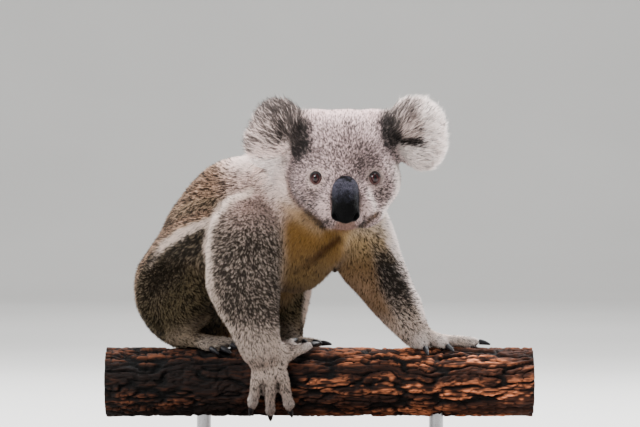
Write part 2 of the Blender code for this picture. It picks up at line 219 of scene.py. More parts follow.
def remeshed(vertices, faces, voxel, softening):
    """The same shape as small quads, with its overlaps joined and its facets smoothed."""
    work = linked("work", mesh_from("work", vertices, faces))
    remesh = work.modifiers.new("remesh", "REMESH")
    remesh.mode, remesh.voxel_size = "VOXEL", voxel
    soften = work.modifiers.new("soften", "SMOOTH")
    soften.factor, soften.iterations = 0.5, softening
    evaluated = work.evaluated_get(bpy.context.evaluated_depsgraph_get())
    mesh = evaluated.to_mesh()
    places = np.empty(len(mesh.vertices) * 3, np.float32)
    mesh.vertices.foreach_get("co", places)
    quads = np.empty(len(mesh.loops), np.int32)
    mesh.loops.foreach_get("vertex_index", quads)
    evaluated.to_mesh_clear()
    bpy.data.objects.remove(work)
    return places.reshape(-1, 3).astype(float), quads.reshape(-1, 4)


def vertex_normals(vertices, quads):
    across = vertices[quads[:, 2]] - vertices[quads[:, 0]]
    along = vertices[quads[:, 3]] - vertices[quads[:, 1]]
    facing = np.cross(across, along)
    total = np.zeros_like(vertices)
    for corner, axis in itertools.product(range(4), range(3)):
        total[:, axis] += np.bincount(quads[:, corner], facing[:, axis], minlength=len(vertices))
    return unit(total)


class Neighbours:
    """Averages values over a mesh's edges."""

    def __init__(self, quads, count):
        ends = np.concatenate([quads[:, [i, (i + 1) % 4]] for i in range(4)])
        ends = np.unique(np.sort(ends, axis=1), axis=0)
        self.start = np.concatenate([ends[:, 0], ends[:, 1]])
        self.end = np.concatenate([ends[:, 1], ends[:, 0]])
        self.count = np.bincount(self.start, minlength=count)

    def average(self, values):
        columns = [
            np.bincount(self.start, column[self.end], minlength=len(values))
            for column in values.reshape(len(values), -1).T
        ]
        return (np.stack(columns, axis=1) / self.count[:, None]).reshape(values.shape)

    def smoothed(self, values, steps):
        for _ in range(steps):
            values = values + (self.average(values) - values) * 0.5
        return values


# ---------------- the body's surface

JOIN_GROWTH = 0.5 * MM  # more than half the gap between two solids
SKIN_VOXEL, SKIN_SOFTENING = 2.4 * MM, 8
REGION_BLUR_STEPS, DEPTH_BLUR_STEPS = 22, 12
MOST_OF_THICKNESS = 0.3

# How far the skin lies inside the solids, in millimetres
COAT_DEPTH_MM = {
    "trunk": 5.0, "neck": 6.0, "head": 3.5, "ear": 3.4, "upper_arm": 4.2, "forearm": 3.8,
    "hand": 1.8, "thigh": 4.8, "shank": 4.0, "foot": 1.8,
}
FACE_DEPTH_MM = 2.2
EAR_RIM_DEPTH_MM = 10.0

# Lines on the body's near side, as (x, z) places in millimetres, seen from the front
CHEEK_LINE = ((-35, 366), (-37, 343), (-37, 327), (-34, 311), (-26, 300))
NEAR_JAW = ((-14, 291), (-3, 281), (5, 273))
FACE_EDGE = CHEEK_LINE + NEAR_JAW
FAR_JAW = ((44, 274), (53, 281), (63, 289))
THIGH_TOP = (
    (-210, 206), (-203, 222), (-187, 245), (-177, 254), (-162, 264), (-136, 277), (-118, 281),
)
THIGH_CREASE = ((-212, 242), (-190, 267), (-165, 284), (-138, 295), (-115, 297))
FAR_ARM_INNER = ((50, 261), (58, 237), (66, 206), (83, 172), (94, 156))
CHEST_CREASE = ((20, 260), (6, 250), (-7, 238), (-17, 229), (-25, 223))
NEAR_ARM_EDGE = (
    (-80, 314), (-99, 306), (-114, 293), (-123, 275), (-126, 250), (-120, 207), (-107, 174),
    (-93, 147),
)
MOUTH_CORNERS = (((1, 275), (8, 283)), ((44, 276), (49, 285)))
FINGER_GAPS = (((-63.5, 101), (-63.5, 84)), ((-46, 101), (-46, 84)))

# Folds of the skin along such lines: the line, and how wide and how deep it is in millimetres
FOLDS = [
    (FACE_EDGE, 6.0, 2.6), (THIGH_CREASE, 12.0, 5.0), (CHEST_CREASE, 9.0, 4.0),
    *((gap, 3.6, 3.0) for gap in FINGER_GAPS),
]
FOREARM_SWELL, FOREARM_SWELL_PLACE = 3.5 * MM, np.array((0.102, -0.02, 0.208))
BELLY_SWELL, BELLY_SWELL_PLACE = 5.5 * MM, np.array((0.004, -0.03, 0.226))
FINGERTIP_SWELL = 1.2 * MM
FINGERTIP_ABOVE_CLAW = (0, 0, 0.008)


def part_of(node):
    """The name of a node without its side."""
    return node.removesuffix("_left").removesuffix("_right")


def on_line(places, line, outer_mm, inner_mm, uneven=0.0):
    """1 within inner_mm of a line and 0 beyond outer_mm, seen from the front."""
    flat, points = places[:, [0, 2]], np.array(line) * MM
    least = np.full(len(flat), np.inf)
    for start, end in zip(points, points[1:]):
        along = end - start
        share = np.clip((flat - start) @ along / (along @ along), 0, 1)
        off = flat - start - share[:, None] * along
        least = np.minimum(least, np.linalg.norm(off, axis=1))
    return step(least + uneven, outer_mm * MM, inner_mm * MM)


def left_of(places, line, low_mm, high_mm):
    """How surely places are to the left of a line that goes down, seen from the front.

    0 where they are less than low_mm to its left, and 1 where they are more than high_mm.
    """
    points = np.array(sorted(line, key=lambda point: point[1])) * MM
    beside = np.interp(places[:, 2], points[:, 1], points[:, 0]) - places[:, 0]
    return step(beside, low_mm * MM, high_mm * MM)


def folded(places, normal):
    """The surface with its folds pressed in."""
    right, back, up = normal.T
    depth = np.zeros(len(places))
    near_side = step(back, 0.4, -0.1)
    for line, width, deep in FOLDS:
        groove = on_line(places, line, width, 0.0) * near_side
        depth = np.maximum(depth, groove * deep * MM)
    forearm = near(places, FOREARM_SWELL_PLACE, 0.012, 0.045) * step(right, 0.1, 0.8)
    belly = near(places, BELLY_SWELL_PLACE, 0.015, 0.06) * step(up, 0.0, -0.6)
    swell = FOREARM_SWELL * forearm + BELLY_SWELL * belly
    tips = np.zeros(len(places))
    for claw in (name for name in CLAWS if name.startswith("claw_hand_right")):
        tips = np.maximum(tips, near(places, CENTRE[claw] + FINGERTIP_ABOVE_CLAW, 0.008, 0.017))
    return places + normal * (swell + FINGERTIP_SWELL * tips - depth)[:, None]


def joined_flesh():
    """All flesh solids as one closed surface of small quads, without the gaps between them.

    Also a search tree of the solids' triangles, and which solid owns each triangle.
    """
    solids = [node_arrays(name, JOIN_GROWTH) for name in FLESH]
    owner = np.repeat(np.arange(len(FLESH)), [len(triangles) for _, triangles in solids])
    vertices, faces = joined(solids)
    surface = remeshed(vertices, faces, SKIN_VOXEL, SKIN_SOFTENING)
    return surface, search_tree(vertices, faces), owner


class Body:
    """The coat's outer surface, the skin beneath it, and what is known at each of its vertices."""

    def __init__(self):
        (self.outer, self.quads), solids, owner = joined_flesh()
        self.outer = folded(self.outer, vertex_normals(self.outer, self.quads))
        self.normal = vertex_normals(self.outer, self.quads)
        self.x, self.y, self.z = self.outer.T
        self.right, self.back, self.up = self.normal.T  # how far each vertex faces that way
        self.near = Neighbours(self.quads, len(self.outer))
        nearest = (solids.find_nearest(Vector(place))[2] for place in self.outer)
        self.label = np.array([owner[triangle] for triangle in nearest])
        self.weight = self.near.smoothed(np.eye(len(FLESH))[self.label], REGION_BLUR_STEPS)
        self.tree = search_tree(self.outer, self.quads)
        self.skin = self.outer - self.normal * self.coat_depth()[:, None]
        self.flow = self.lie_of_coat()

    def share(self, *names):
        return self.weight[:, [FLESH.index(name) for name in names]].sum(axis=1)

    def rim(self, ear):
        """1 where the ear faces outwards from its centre, and 0 on its flat sides."""
        from_centre = (self.outer - CENTRE[ear]) * (1, 0, 1)
        return np.abs(np.sum(unit(from_centre) * self.normal, axis=1))

    def blended(self, table):
        """At each vertex the value that a table gives its part, blended between parts."""
        return self.weight @ np.array([table[part_of(name)] for name in FLESH])

    def coat_depth(self):
        depth = self.blended(COAT_DEPTH_MM)
        face = self.share("head") * step(self.back, -0.1, -0.6)
        depth += (FACE_DEPTH_MM - depth) * face
        for ear in EARS:
            upper = self.share(ear) * step(self.z - CENTRE[ear][2], -0.8 * HALF[ear][2], 0)
            depth += (EAR_RIM_DEPTH_MM - depth) * (self.rim(ear) * upper)
        depth *= MM
        depth = np.minimum(depth, MOST_OF_THICKNESS * self.thickness())
        for eye in EYES:
            depth *= 1 - 0.8 * near(self.outer, CENTRE[eye], 0.011, 0.017)
        return self.near.smoothed(depth, DEPTH_BLUR_STEPS)

    def thickness(self):
        """How far it is through the body, straight in from each vertex, up to a metre."""
        found = np.full(len(self.outer), 1.0)
        for index, (place, normal) in enumerate(zip(self.outer, self.normal)):
            inward = Vector(-normal)
            hit = self.tree.ray_cast(Vector(place) + inward * 2 * MM, inward)
            if hit[0] is not None:
                found[index] = hit[3] + 2 * MM
        return found

    def lie_of_coat(self):
        """The way the fur lies at each vertex: a unit vector along the skin."""
        nose, head = CENTRE["nose"], CENTRE["head"]
        rump = (CENTRE["thigh_left"] + CENTRE["thigh_right"]) / 2
        backwards = unit(rump - CENTRE["neck"]) + (0, 0, -0.55)
        way = {"trunk": backwards, "neck": backwards, "head": self.outer - nose}
        for side in SIDES:
            upper, fore, hand, thigh, shank, foot, ear = (
                CENTRE[f"{part}_{side}"]
                for part in ("upper_arm", "forearm", "hand", "thigh", "shank", "foot", "ear")
            )
            claws = [name for name in CLAWS if f"foot_{side}" in name]
            toes = np.mean([CENTRE[name] for name in claws], axis=0)
            way[f"upper_arm_{side}"] = fore - upper
            way[f"forearm_{side}"] = hand - fore
            way[f"hand_{side}"] = unit(hand - fore) + (0, -0.5, -0.6)
            way[f"thigh_{side}"] = unit(shank - thigh) + (-0.3, 0, -0.5)
            way[f"shank_{side}"] = toes - thigh
            way[f"foot_{side}"] = toes - foot
            way[f"ear_{side}"] = self.outer - (ear + 0.62 * (head - ear) * (1, 0, 1))
        flow = np.zeros_like(self.outer)
        for index, name in enumerate(FLESH):
            vectors = np.broadcast_to(unit(np.asarray(way[name])), self.outer.shape)
            flow += flattened(vectors, self.normal) * self.weight[:, index : index + 1]
        for _ in range(4):
            flow = flattened(self.near.smoothed(flow, 3), self.normal)
        return flow


# ---------------- markings, for skin and coat alike

CROWN, FOREHEAD, CHEEK = shade(242, 208, 205), shade(246, 216, 213), shade(226, 198, 193)
EYE_RING, MUZZLE, LIP = shade(236, 207, 200), shade(230, 202, 198), shade(116, 78, 58)
JAW, MOUTH = shade(84, 60, 40), shade(38, 27, 22)
EAR_WHITE, EAR_GREY, EAR_BLACK = shade(255, 240, 234), shade(222, 200, 192), shade(118, 104, 99)
EAR_LOBE, NECK_WHITE = shade(252, 226, 218), shade(254, 230, 220)
THROAT, CHEST, BIB = shade(122, 89, 44), shade(124, 95, 58), shade(204, 173, 128)
# The second of these is painted shadow in the chest's crease.
RUFF, CREASE_SHADOW, CREAM = shade(168, 136, 98), shade(66, 42, 20), shade(240, 220, 200)
SHOULDER, BACK, FLANK = shade(248, 216, 204), shade(212, 172, 144), shade(196, 166, 138)
# The last of these is painted shade low on the front of the belly.
ARM, INNER_ARM, SHADE_UNDER_BELLY = shade(196, 176, 162), shade(150, 119, 92), shade(116, 92, 60)
# The first of these is painted rim light: the pale glow along the limbs' outer edges as the camera
# sees them.
PAINTED_RIM_LIGHT, THIGH, SHANK = shade(250, 228, 214), shade(146, 128, 106), shade(112, 98, 74)
FOOT, HAND, FINGER = shade(144, 126, 106), shade(250, 228, 214), shade(255, 240, 232)

# For each part its ground colour, and how large a part of its tufts is dark
GROUND = {
    "trunk": (FLANK * 0.9, 0.54), "neck": (NECK_WHITE, 0.05), "head": (FOREHEAD, 0.54),
    "ear": (EAR_GREY, 0.28), "upper_arm": (ARM, 0.7), "forearm": (ARM * 0.94, 0.75),
    "hand": (HAND, 0.25), "thigh": (THIGH, 0.58), "shank": (SHANK, 0.5), "foot": (FOOT, 0.25),
}
MOST_DARK = 0.85

THIGH_PLACE = (-0.130, 0.195)  # its middle, as (x, z)
LIP_BELOW_NOSE, LIP_HALF_WIDTH, LIP_HALF_HEIGHT = 0.0295, 0.0145, 0.0075


class Markings:
    """At each vertex the coat's colour in linear light, and how many of its tufts are dark."""

    def __init__(self, body):
        self.colour = body.blended({part: colour for part, (colour, _) in GROUND.items()})
        self.pepper = body.blended({part: pepper for part, (_, pepper) in GROUND.items()})
        paint_body(self, body)
        paint_chest(self, body)
        paint_arms(self, body)
        paint_hands_and_feet(self, body)
        paint_head(self, body)
        paint_face(self, body)
        paint_mouth(self, body)
        for ear in EARS:
            paint_ear(self, body, ear)
        patches = noise(body.outer, 0.028, 3) + 0.6 * noise(body.outer, 0.011, 4)
        self.colour *= (0.86 + 0.175 * patches)[:, None]
        self.pepper = np.clip(self.pepper, 0.0, MOST_DARK)

    def paint(self, share, colour, pepper):
        self.colour = mixed(self.colour, colour, share)
        self.pepper = self.pepper + (pepper - self.pepper) * share


def paint_body(coat, body):
    coat.paint(body.share("trunk", "neck") * step(body.up, -0.1, 0.6), BACK * 0.76, 0.6)
    near_side = step(body.back, 0.3, -0.1)
    from_thigh = np.hypot(body.x - THIGH_PLACE[0], body.z - THIGH_PLACE[1])
    in_thigh = step(from_thigh, 0.084, 0.074) * near_side
    in_thigh = in_thigh * body.share("trunk", "thigh_right") * step(body.x, -0.085, -0.105)
    coat.paint(in_thigh, THIGH * 0.74, 0.8)
    coat.paint(in_thigh * step(body.z, 0.21, 0.165), SHANK, 0.55)
    # Painted rim light along the top of the near thigh
    uneven = 5 * MM * (noise(body.outer, 5 * MM, 9) - 0.5)
    thigh_rim_light = on_line(body.outer, THIGH_TOP, 8.5, 2.5, uneven) * near_side
    thigh_rim_light *= step(body.z, 0.222, 0.250) * step(body.y, 0.045, 0.0)
    coat.paint(thigh_rim_light * body.share("trunk", "thigh_right"), PAINTED_RIM_LIGHT, 0.05)
    # Painted light on the upper side of the far thigh, and painted rim light down the far leg's
    # right side
    coat.paint(0.2 * (step(body.up, 0.1, 1.0) * body.share("thigh_left")), PAINTED_RIM_LIGHT, 0.4)
    other_leg = body.share("thigh_left", "shank_left")
    coat.paint(other_leg * step(body.right, 0.6, 0.92), PAINTED_RIM_LIGHT, 0.08)
    shoulder = body.share("trunk", "neck", "upper_arm_right") * near_side
    shoulder = shoulder * step(body.x, -0.125, -0.085)
    coat.paint(shoulder * step(body.z, 0.252, 0.300), SHOULDER, 0.4)
    white_above = 0.338 - 0.034 * step(body.x, -0.078, -0.052)  # lower beside the face
    white = step(body.z, white_above - 0.012, white_above + 0.008)
    coat.paint(shoulder * white, NECK_WHITE, 0.05)


def paint_chest(coat, body):
    front = step(body.back, 0.1, -0.5) * step(body.x, -0.052, -0.03) * step(body.z, 0.300, 0.270)
    front = front * left_of(body.outer, FAR_ARM_INNER, -4, 3)
    front = front * body.share("trunk", "neck", "upper_arm_left")
    coat.paint(front, CHEST, 0.04)
    coat.paint(front * step(body.z, 0.225, 0.262), THROAT, 0.0)
    coat.paint(front * step(body.x, 0.016, 0.042) * step(body.z, 0.225, 0.258), BIB, 0.03)
    # Painted shadow along the chest's crease
    coat.paint(0.9 * front * on_line(body.outer, CHEST_CREASE, 7.0, 1.5), CREASE_SHADOW, 0.1)
    # Painted shade low on the front of the belly
    low = step(body.z, 0.245, 0.215) * step(body.back, 0.5, 0.0) * step(body.x, -0.125, -0.10)
    coat.paint(low * body.share("trunk"), SHADE_UNDER_BELLY, 0.1)


def paint_arms(coat, body):
    """The arms carry painted rim light: pale along their outer edges, as the camera sees them."""
    inner = left_of(body.outer, FAR_ARM_INNER, -9, 6)
    far_arm = body.share("upper_arm_left", "forearm_left")
    coat.paint(far_arm * step(body.z, 0.272, 0.228), ARM * 0.42, 0.84)
    coat.paint(far_arm * step(body.z, 0.212, 0.170), ARM, 0.45)
    coat.paint(far_arm * inner, INNER_ARM * 0.84, 0.16)
    coat.paint(0.7 * far_arm * inner * step(body.z, 0.200, 0.235), CHEST * 0.75, 0.12)
    coat.paint(far_arm * step(body.z, 0.226, 0.274), BIB, 0.36)
    coat.paint(far_arm * step(body.z, 0.256, 0.284), CREAM, 0.22)
    uneven = 0.25 * (noise(body.outer, 7 * MM, 5) - 0.5)
    # Painted rim light down the near arm's outer edges; the edge line goes back to the arm's
    # colour low down
    near_arm = body.share("upper_arm_right", "forearm_right")
    coat.paint(near_arm * step(-body.right + uneven, 0.76, 1.05), PAINTED_RIM_LIGHT, 0.1)
    edge = on_line(body.outer, NEAR_ARM_EDGE, 7.0, 1.5, 24 * MM * uneven)
    edge = edge * step(body.y, -0.02, -0.035) * np.clip(near_arm + body.share("trunk"), 0, 1)
    coat.paint(edge, PAINTED_RIM_LIGHT, 0.1)
    coat.paint(0.8 * edge * step(body.z, 0.25, 0.20), ARM * 0.95, 0.32)
    # Painted rim light down the far arm's outer edge, wider low down
    wider_below = 0.08 * step(body.z, 0.255, 0.235)
    far_arm_rim_light = step(body.right + 0.9 * uneven - wider_below, 0.54, 0.94)
    coat.paint(far_arm * far_arm_rim_light, EAR_WHITE, 0.08)


def paint_hands_and_feet(coat, body):
    wrist = step(body.z, 0.185, 0.15)
    coat.paint(0.7 * wrist * body.share("forearm_right", "forearm_left"), HAND, 0.3)
    near_claws = np.zeros(len(body.x))
    for claw in CLAWS:
        near_claws = np.maximum(near_claws, near(body.outer, CENTRE[claw], 0.012, 0.03))
    coat.paint(near_claws * body.share(*HANDS), FINGER, 0.08)
    coat.paint(0.25 * near_claws * body.share(*FEET), FINGER, 0.2)
    # Painted shade in the gaps between the fingers
    for gap in FINGER_GAPS:
        between = on_line(body.outer, gap, 2.6, 1.0) * step(body.back, 0.3, -0.1)
        coat.paint(0.9 * between * body.share("hand_right"), MOUTH, 0.5)


def paint_head(coat, body):
    head = body.share("head")
    coat.paint(head * step(body.z, 0.388, 0.408), CROWN, 0.12)
    off_face = left_of(body.outer, FACE_EDGE, 0, 4)
    behind = off_face * step(body.z, 0.370, 0.355) * step(body.y, -0.025, -0.06)
    coat.paint(head * behind, NECK_WHITE, 0.04)
    ruff = step(body.z, 0.318, 0.286) * step(body.x, -0.058, -0.040)
    coat.paint(ruff * off_face * body.share("head", "neck"), RUFF, 0.06)
    coat.paint(head * step(body.back, 0.2, 0.6), CROWN, 0.25)
    # Painted rim light along the far side of the head
    far_cheek_rim_light = step(body.right, 0.7, 0.92) * step(body.z, 0.352, 0.340)
    coat.paint(head * far_cheek_rim_light, EAR_WHITE, 0.1)


def paint_face(coat, body):
    """Spots at places measured from the eyes and the nose, in millimetres."""
    head = body.share("head")

    def spot(centre, offset, inner, outer):
        return near(body.outer, centre + np.array(offset) * MM, inner, outer)

    for eye, sign in zip(EYES, (1, -1)):
        cheek = spot(CENTRE[eye], (6 * sign, 6, -21), 0.009, 0.018)
        coat.paint(head * cheek, CHEEK, 0.62)
        muzzle = spot(CENTRE["nose"], (22 * sign, 8, -12), 0.008, 0.017)
        coat.paint(head * muzzle, MUZZLE, 0.16)
        coat.paint(head * near(body.outer, CENTRE[eye], 0.0095, 0.016), EYE_RING, 0.1)
    brow = spot(CENTRE["nose"], (2, 12, 27), 0.002, 0.007)
    coat.paint(0.9 * brow * head, FOREHEAD * 0.25, 0.8)


def paint_mouth(coat, body):
    """The shadow along the cheek and the jaw, the lip and the corners of the mouth."""
    face_side = body.share("head", "neck") * step(body.back, 0.4, 0.0)
    edge = on_line(body.outer, FACE_EDGE, 4.5, 1.5) * face_side
    coat.paint(0.7 * edge * step(body.z, 0.355, 0.315), JAW * 1.6, 0.1)
    uneven = 4 * MM * (noise(body.outer, 4 * MM, 7) - 0.5)
    near_jaw, far_jaw = (on_line(body.outer, jaw, 5.0, 1.0, uneven) for jaw in (NEAR_JAW, FAR_JAW))
    coat.paint(0.95 * np.maximum(near_jaw, far_jaw) * face_side, JAW, 0.3)
    lip_z = body.z - CENTRE["nose"][2] + LIP_BELOW_NOSE
    lip = np.hypot((body.x - CENTRE["nose"][0]) / LIP_HALF_WIDTH, lip_z / LIP_HALF_HEIGHT)
    coat.paint(0.85 * face_side * step(lip, 1.25, 0.7), LIP, 0.0)
    for corner in MOUTH_CORNERS:
        beside = on_line(body.outer, corner, 4.0, 0.5, uneven)
        coat.paint(0.85 * face_side * beside, MOUTH, 0.4)


def paint_ear(coat, body, ear):
    """In an ear's own measures: out is away from the head and up is up, each 1 at its edge."""
    share = body.share(ear)
    sign = 1 if ear.endswith("left") else -1
    from_centre = body.outer - CENTRE[ear]
    out = sign * from_centre[:, 0] / HALF[ear][0]
    up = from_centre[:, 2] / HALF[ear][2]
    uneven = 0.5 * (noise(body.outer, 5 * MM, 6) - 0.5)
    front = step(body.back, 0.3, -0.2)
    if ear == "ear_right":
        coat.paint(share, EAR_GREY * 0.9, 0.62)
        coat.paint(share * step(out + uneven, 0.12, 0.5), EAR_GREY * 0.98, 0.5)
        coat.paint(0.9 * share * step(up + uneven, 0.5, 0.75), EAR_GREY * 0.6, 0.74)
        coat.paint(share * step(up + 0.2 * out, 0.12, -0.1), EAR_LOBE, 0.1)
        spot = step(np.hypot((out + 0.12) / 0.2, (up - 0.3) / 0.3) + uneven, 1.2, 0.5)
        coat.paint(0.9 * share * front * spot, EAR_BLACK * 0.8, 0.84)
    else:
        from_middle = np.hypot(out + 0.12, up - 0.15) + uneven * 0.5
        coat.paint(share * step(from_middle, 0.36, 0.6), EAR_WHITE, 0.1)
        streaks = step(up, 0.3, 0.55) * step(out + uneven, 0.4, 0.0)
        coat.paint(0.8 * share * front * streaks, EAR_GREY * 0.7, 0.62)
        crease = step(np.abs(up + 0.17 + 0.14 * out), 0.17, 0.06) * step(out, 0.55, 0.3)
        coat.paint(share * front * crease, EAR_BLACK * 0.4, 0.88)
    coat.paint(share * step(up, -0.24, -0.38), EAR_WHITE, 0.05)
    beside = np.clip(share + body.share("head"), 0, 1) * step(body.back, 0.5, 0.0)
    beside *= step(from_centre[:, 1], 0.025, 0.008)
    inner = step(np.hypot((out + 0.80) / 0.46, (up - 0.12) / 0.60) + uneven, 1.2, 0.5)
    coat.paint(0.97 * beside * inner, EAR_BLACK * 0.7, 0.83)


# ---------------- materials

COLOURS = "markings"


def add_markings(mesh, colours):
    layer = mesh.color_attributes.new(COLOURS, "FLOAT_COLOR", "POINT")
    values = np.concatenate([colours, np.ones((len(colours), 1))], axis=1)
    layer.data.foreach_set("color", values.astype(np.float32).ravel())


class Material:
    """A node material, with short ways to add nodes and to join them."""

    def __init__(self, name, **constants):
        self.made = bpy.data.materials.new(name)
        self.made.use_nodes = True
        self.tree = self.made.node_tree
        self.shader = self.tree.nodes["Principled BSDF"]
        for socket, value in constants.items():
            self.shader.inputs[socket.replace("_", " ")].default_value = value

    def node(self, kind, inputs, **settings):
        """A new node with these settings, and with inputs joined or set by name or number."""
        made = self.tree.nodes.new(kind)
        for name, value in settings.items():
            setattr(made, name, value)
        for name, value in inputs.items():
            self.feed(value, made.inputs[name])
        return made

    def feed(self, value, socket):
        """Joins an output to a socket, or sets the socket to a number, a vector or a colour."""
        if isinstance(value, bpy.types.NodeSocket):
            self.tree.links.new(value, socket)
        else:
            socket.default_value = (*value, 1.0) if socket.type == "RGBA" else value

    def place(self, scale=(1, 1, 1)):
        """Object coordinates, stretched."""
        place = self.node("ShaderNodeTexCoord", {}).outputs["Object"]
        return self.node("ShaderNodeMapping", {"Vector": place, "Scale": scale}).outputs["Vector"]

    def from_axis(self, scale):
        inputs = {"Vector": self.place(scale)}
        return self.node("ShaderNodeVectorMath", inputs, operation="LENGTH").outputs["Value"]

    def noise(self, place, scale, detail, distortion=0.0):
        inputs = {"Vector": place, "Scale": scale, "Detail": detail, "Distortion": distortion}
        return self.node("ShaderNodeTexNoise", inputs).outputs["Fac"]

    def range(self, value, low, high, new_low=0.0, new_high=1.0):
        limits = {"From Min": low, "From Max": high, "To Min": new_low, "To Max": new_high}
        return self.node("ShaderNodeMapRange", {"Value": value, **limits}).outputs["Result"]

    def spread(self, noise, low, high):
        """Noise, which mostly stays between 0.3 and 0.7, spread out between low and high."""
        return self.range(noise, 0.3, 0.7, low, high)

    def ramp(self, value, *stops):
        """Stops are (place, colour) in rising order."""
        made = self.node("ShaderNodeValToRGB", {"Fac": value})
        points = made.color_ramp.elements
        while len(points) < len(stops):
            points.new(0.5)
        for point, (place, colour) in zip(points, stops):
            point.position, point.color = place, (*colour, 1.0)
        return made.outputs["Color"]

    def blend(self, first, second, share, how="MIX"):
        made = self.node("ShaderNodeMix", {}, data_type="RGBA", blend_type=how)
        sockets = {socket.identifier: socket for socket in (*made.inputs, *made.outputs)}
        for value, name in ((share, "Factor_Float"), (first, "A_Color"), (second, "B_Color")):
            self.feed(value, sockets[name])
        return sockets["Result_Color"]

    def added(self, first, second):
        inputs = {0: first, 1: second}
        return self.node("ShaderNodeMath", inputs, operation="ADD").outputs["Value"]

    def colour(self, output):
        self.feed(output, self.shader.inputs["Base Color"])

    def painted(self, brightness):
        """The markings' colours, each times the brightness."""
        inputs = dict.fromkeys(("Red", "Green", "Blue"), brightness)
        grey = self.node("ShaderNodeCombineColor", inputs).outputs["Color"]
        colours = self.node("ShaderNodeAttribute", {}, attribute_name=COLOURS).outputs["Color"]
        self.colour(self.blend(colours, grey, 1.0, "MULTIPLY"))

    def roughness(self, noise, low, high):
        self.feed(self.spread(noise, low, high), self.shader.inputs["Roughness"])

    def bump(self, height, strength, distance):
        inputs = {"Strength": strength, "Distance": distance, "Height": height}
        bumped = self.node("ShaderNodeBump", inputs).outputs["Normal"]
        self.feed(bumped, self.shader.inputs["Normal"])


def coat_material():
    made = Material("koala_coat", Sheen_Weight=0.02, Sheen_Roughness=0.5, Specular_IOR_Level=0.06)
    grain = made.noise(made.place(), 900.0, 3.0)
    made.painted(made.spread(grain, 0.8, 1.15))
    made.roughness(grain, 0.62, 0.85)
    return made.made


def skin_material():
    made = Material("koala_skin", Specular_IOR_Level=0.3)
    grain = made.noise(made.place(), 420.0, 6.0)
    folds = made.noise(made.place(scale=(1, 1, 2.2)), 90.0, 5.0, 0.6)
    made.painted(made.spread(folds, 0.72, 1.05))
    made.roughness(grain, 0.5, 0.75)
    made.bump(made.added(grain, folds), 0.9, 0.6 * MM)
    return made.made


# ---------------- skin

# The skin carries the coat's markings darkened by this much: painted shade under the fur
SKIN_SHADE = 0.35
EYE_RADIUS = HALF["eye_left"][0]
EYE_OPENING = (5.3 * MM, 5.9 * MM)  # half its width and half its height
UPPER_LID, LOWER_LID = shade(24, 18, 18), shade(82, 52, 49)
UPPER_LID_RADIUS, LOWER_LID_RADIUS = 1.2 * MM, 0.85 * MM
LID_BREADTH = 1.25  # how much wider than thick the lids are
LID_AROUND, LID_ACROSS = 56, 10


def eye_axes(eye):
    """The eye's side, up and facing directions."""
    sign = 1 if eye.endswith("left") else -1
    facing = unit(np.array((0.24 * sign, -1.0, 0.02)))
    side = unit(np.cross(facing, (0, 0, 1)))
    return side, np.cross(side, facing), facing


def lids(eye):
    """A soft rim round the eye's opening, lying on the eyeball: places, quads and colours."""
    side, up, facing = eye_axes(eye)
    angle = np.linspace(0, 2 * math.pi, LID_AROUND, endpoint=False)
    upper = step(np.sin(angle), -0.35, 0.35)
    radius = LOWER_LID_RADIUS + (UPPER_LID_RADIUS - LOWER_LID_RADIUS) * upper
    x, y = EYE_OPENING[0] * np.cos(angle), EYE_OPENING[1] * np.sin(angle)
    y = y + 0.6 * MM * np.cos(2 * angle) * (1 - upper)
    lift = np.sqrt((EYE_RADIUS + 0.3 * MM) ** 2 - x**2 - y**2)
    middle = CENTRE[eye] + x[:, None] * side + y[:, None] * up + lift[:, None] * facing
    outwards = unit(middle - CENTRE[eye])
    along = unit(np.roll(middle, -1, axis=0) - np.roll(middle, 1, axis=0))
    sideways = np.cross(along, outwards)
    turn = np.linspace(0, 2 * math.pi, LID_ACROSS, endpoint=False)
    rows = [
        middle + (outwards * math.cos(t) + sideways * LID_BREADTH * math.sin(t)) * radius[:, None]
        for t in turn
    ]
    places = np.stack(rows, axis=1).reshape(-1, 3)
    colours = mixed(LOWER_LID[None, :], UPPER_LID[None, :], upper)
    quads = grid_faces(LID_AROUND, LID_ACROSS, closed=True)
    return places, quads, np.repeat(colours, LID_ACROSS, axis=0)


def add_skin(body, colours):
    parts = [(body.skin, body.quads, colours * SKIN_SHADE), *(lids(eye) for eye in EYES)]
    mesh = mesh_from("skin", *joined(part[:2] for part in parts))
    add_markings(mesh, np.concatenate([part[2] for part in parts]))
    piece(mesh, skin_material(), FLESH)


# ---------------- eyes, nose and claws

EYE_ROWS, EYE_AROUND = 36, 48
POLE = 0.001  # the angle of the pinhole left at each pole
CORNEA_BULGE = 0.55 * MM
PUPIL_STRETCH = (2.0, 0.9, 0)  # a narrow upright slit


def eye_material():
    made = Material(
        "koala_eye", Roughness=0.3, Specular_IOR_Level=0.02, Coat_Weight=0.8,
        Coat_Roughness=0.02, Coat_IOR=1.45,
    )
    from_middle, from_slit = made.from_axis((1, 1, 0)), made.from_axis(PUPIL_STRETCH)
    fibres = made.noise(made.place(scale=(1, 1, 0.2)), 900.0, 4.0, 1.2)
    iris = made.ramp(
        made.range(from_middle, 0.0, EYE_RADIUS), (0.0, shade(36, 10, 12)),
        (0.40, shade(52, 15, 17)), (0.60, shade(28, 9, 10)), (0.72, shade(10, 6, 6)),
        (1.0, shade(34, 24, 22)),
    )
    veined = made.blend(iris, shade(34, 16, 14), made.range(fibres, 0.45, 0.7, 0.0, 0.7))
    pupil = made.range(from_slit, 2.7 * MM, 3.3 * MM, 1.0, 0.0)
    made.colour(made.blend(veined, shade(4, 3, 3), pupil))
    return made.made


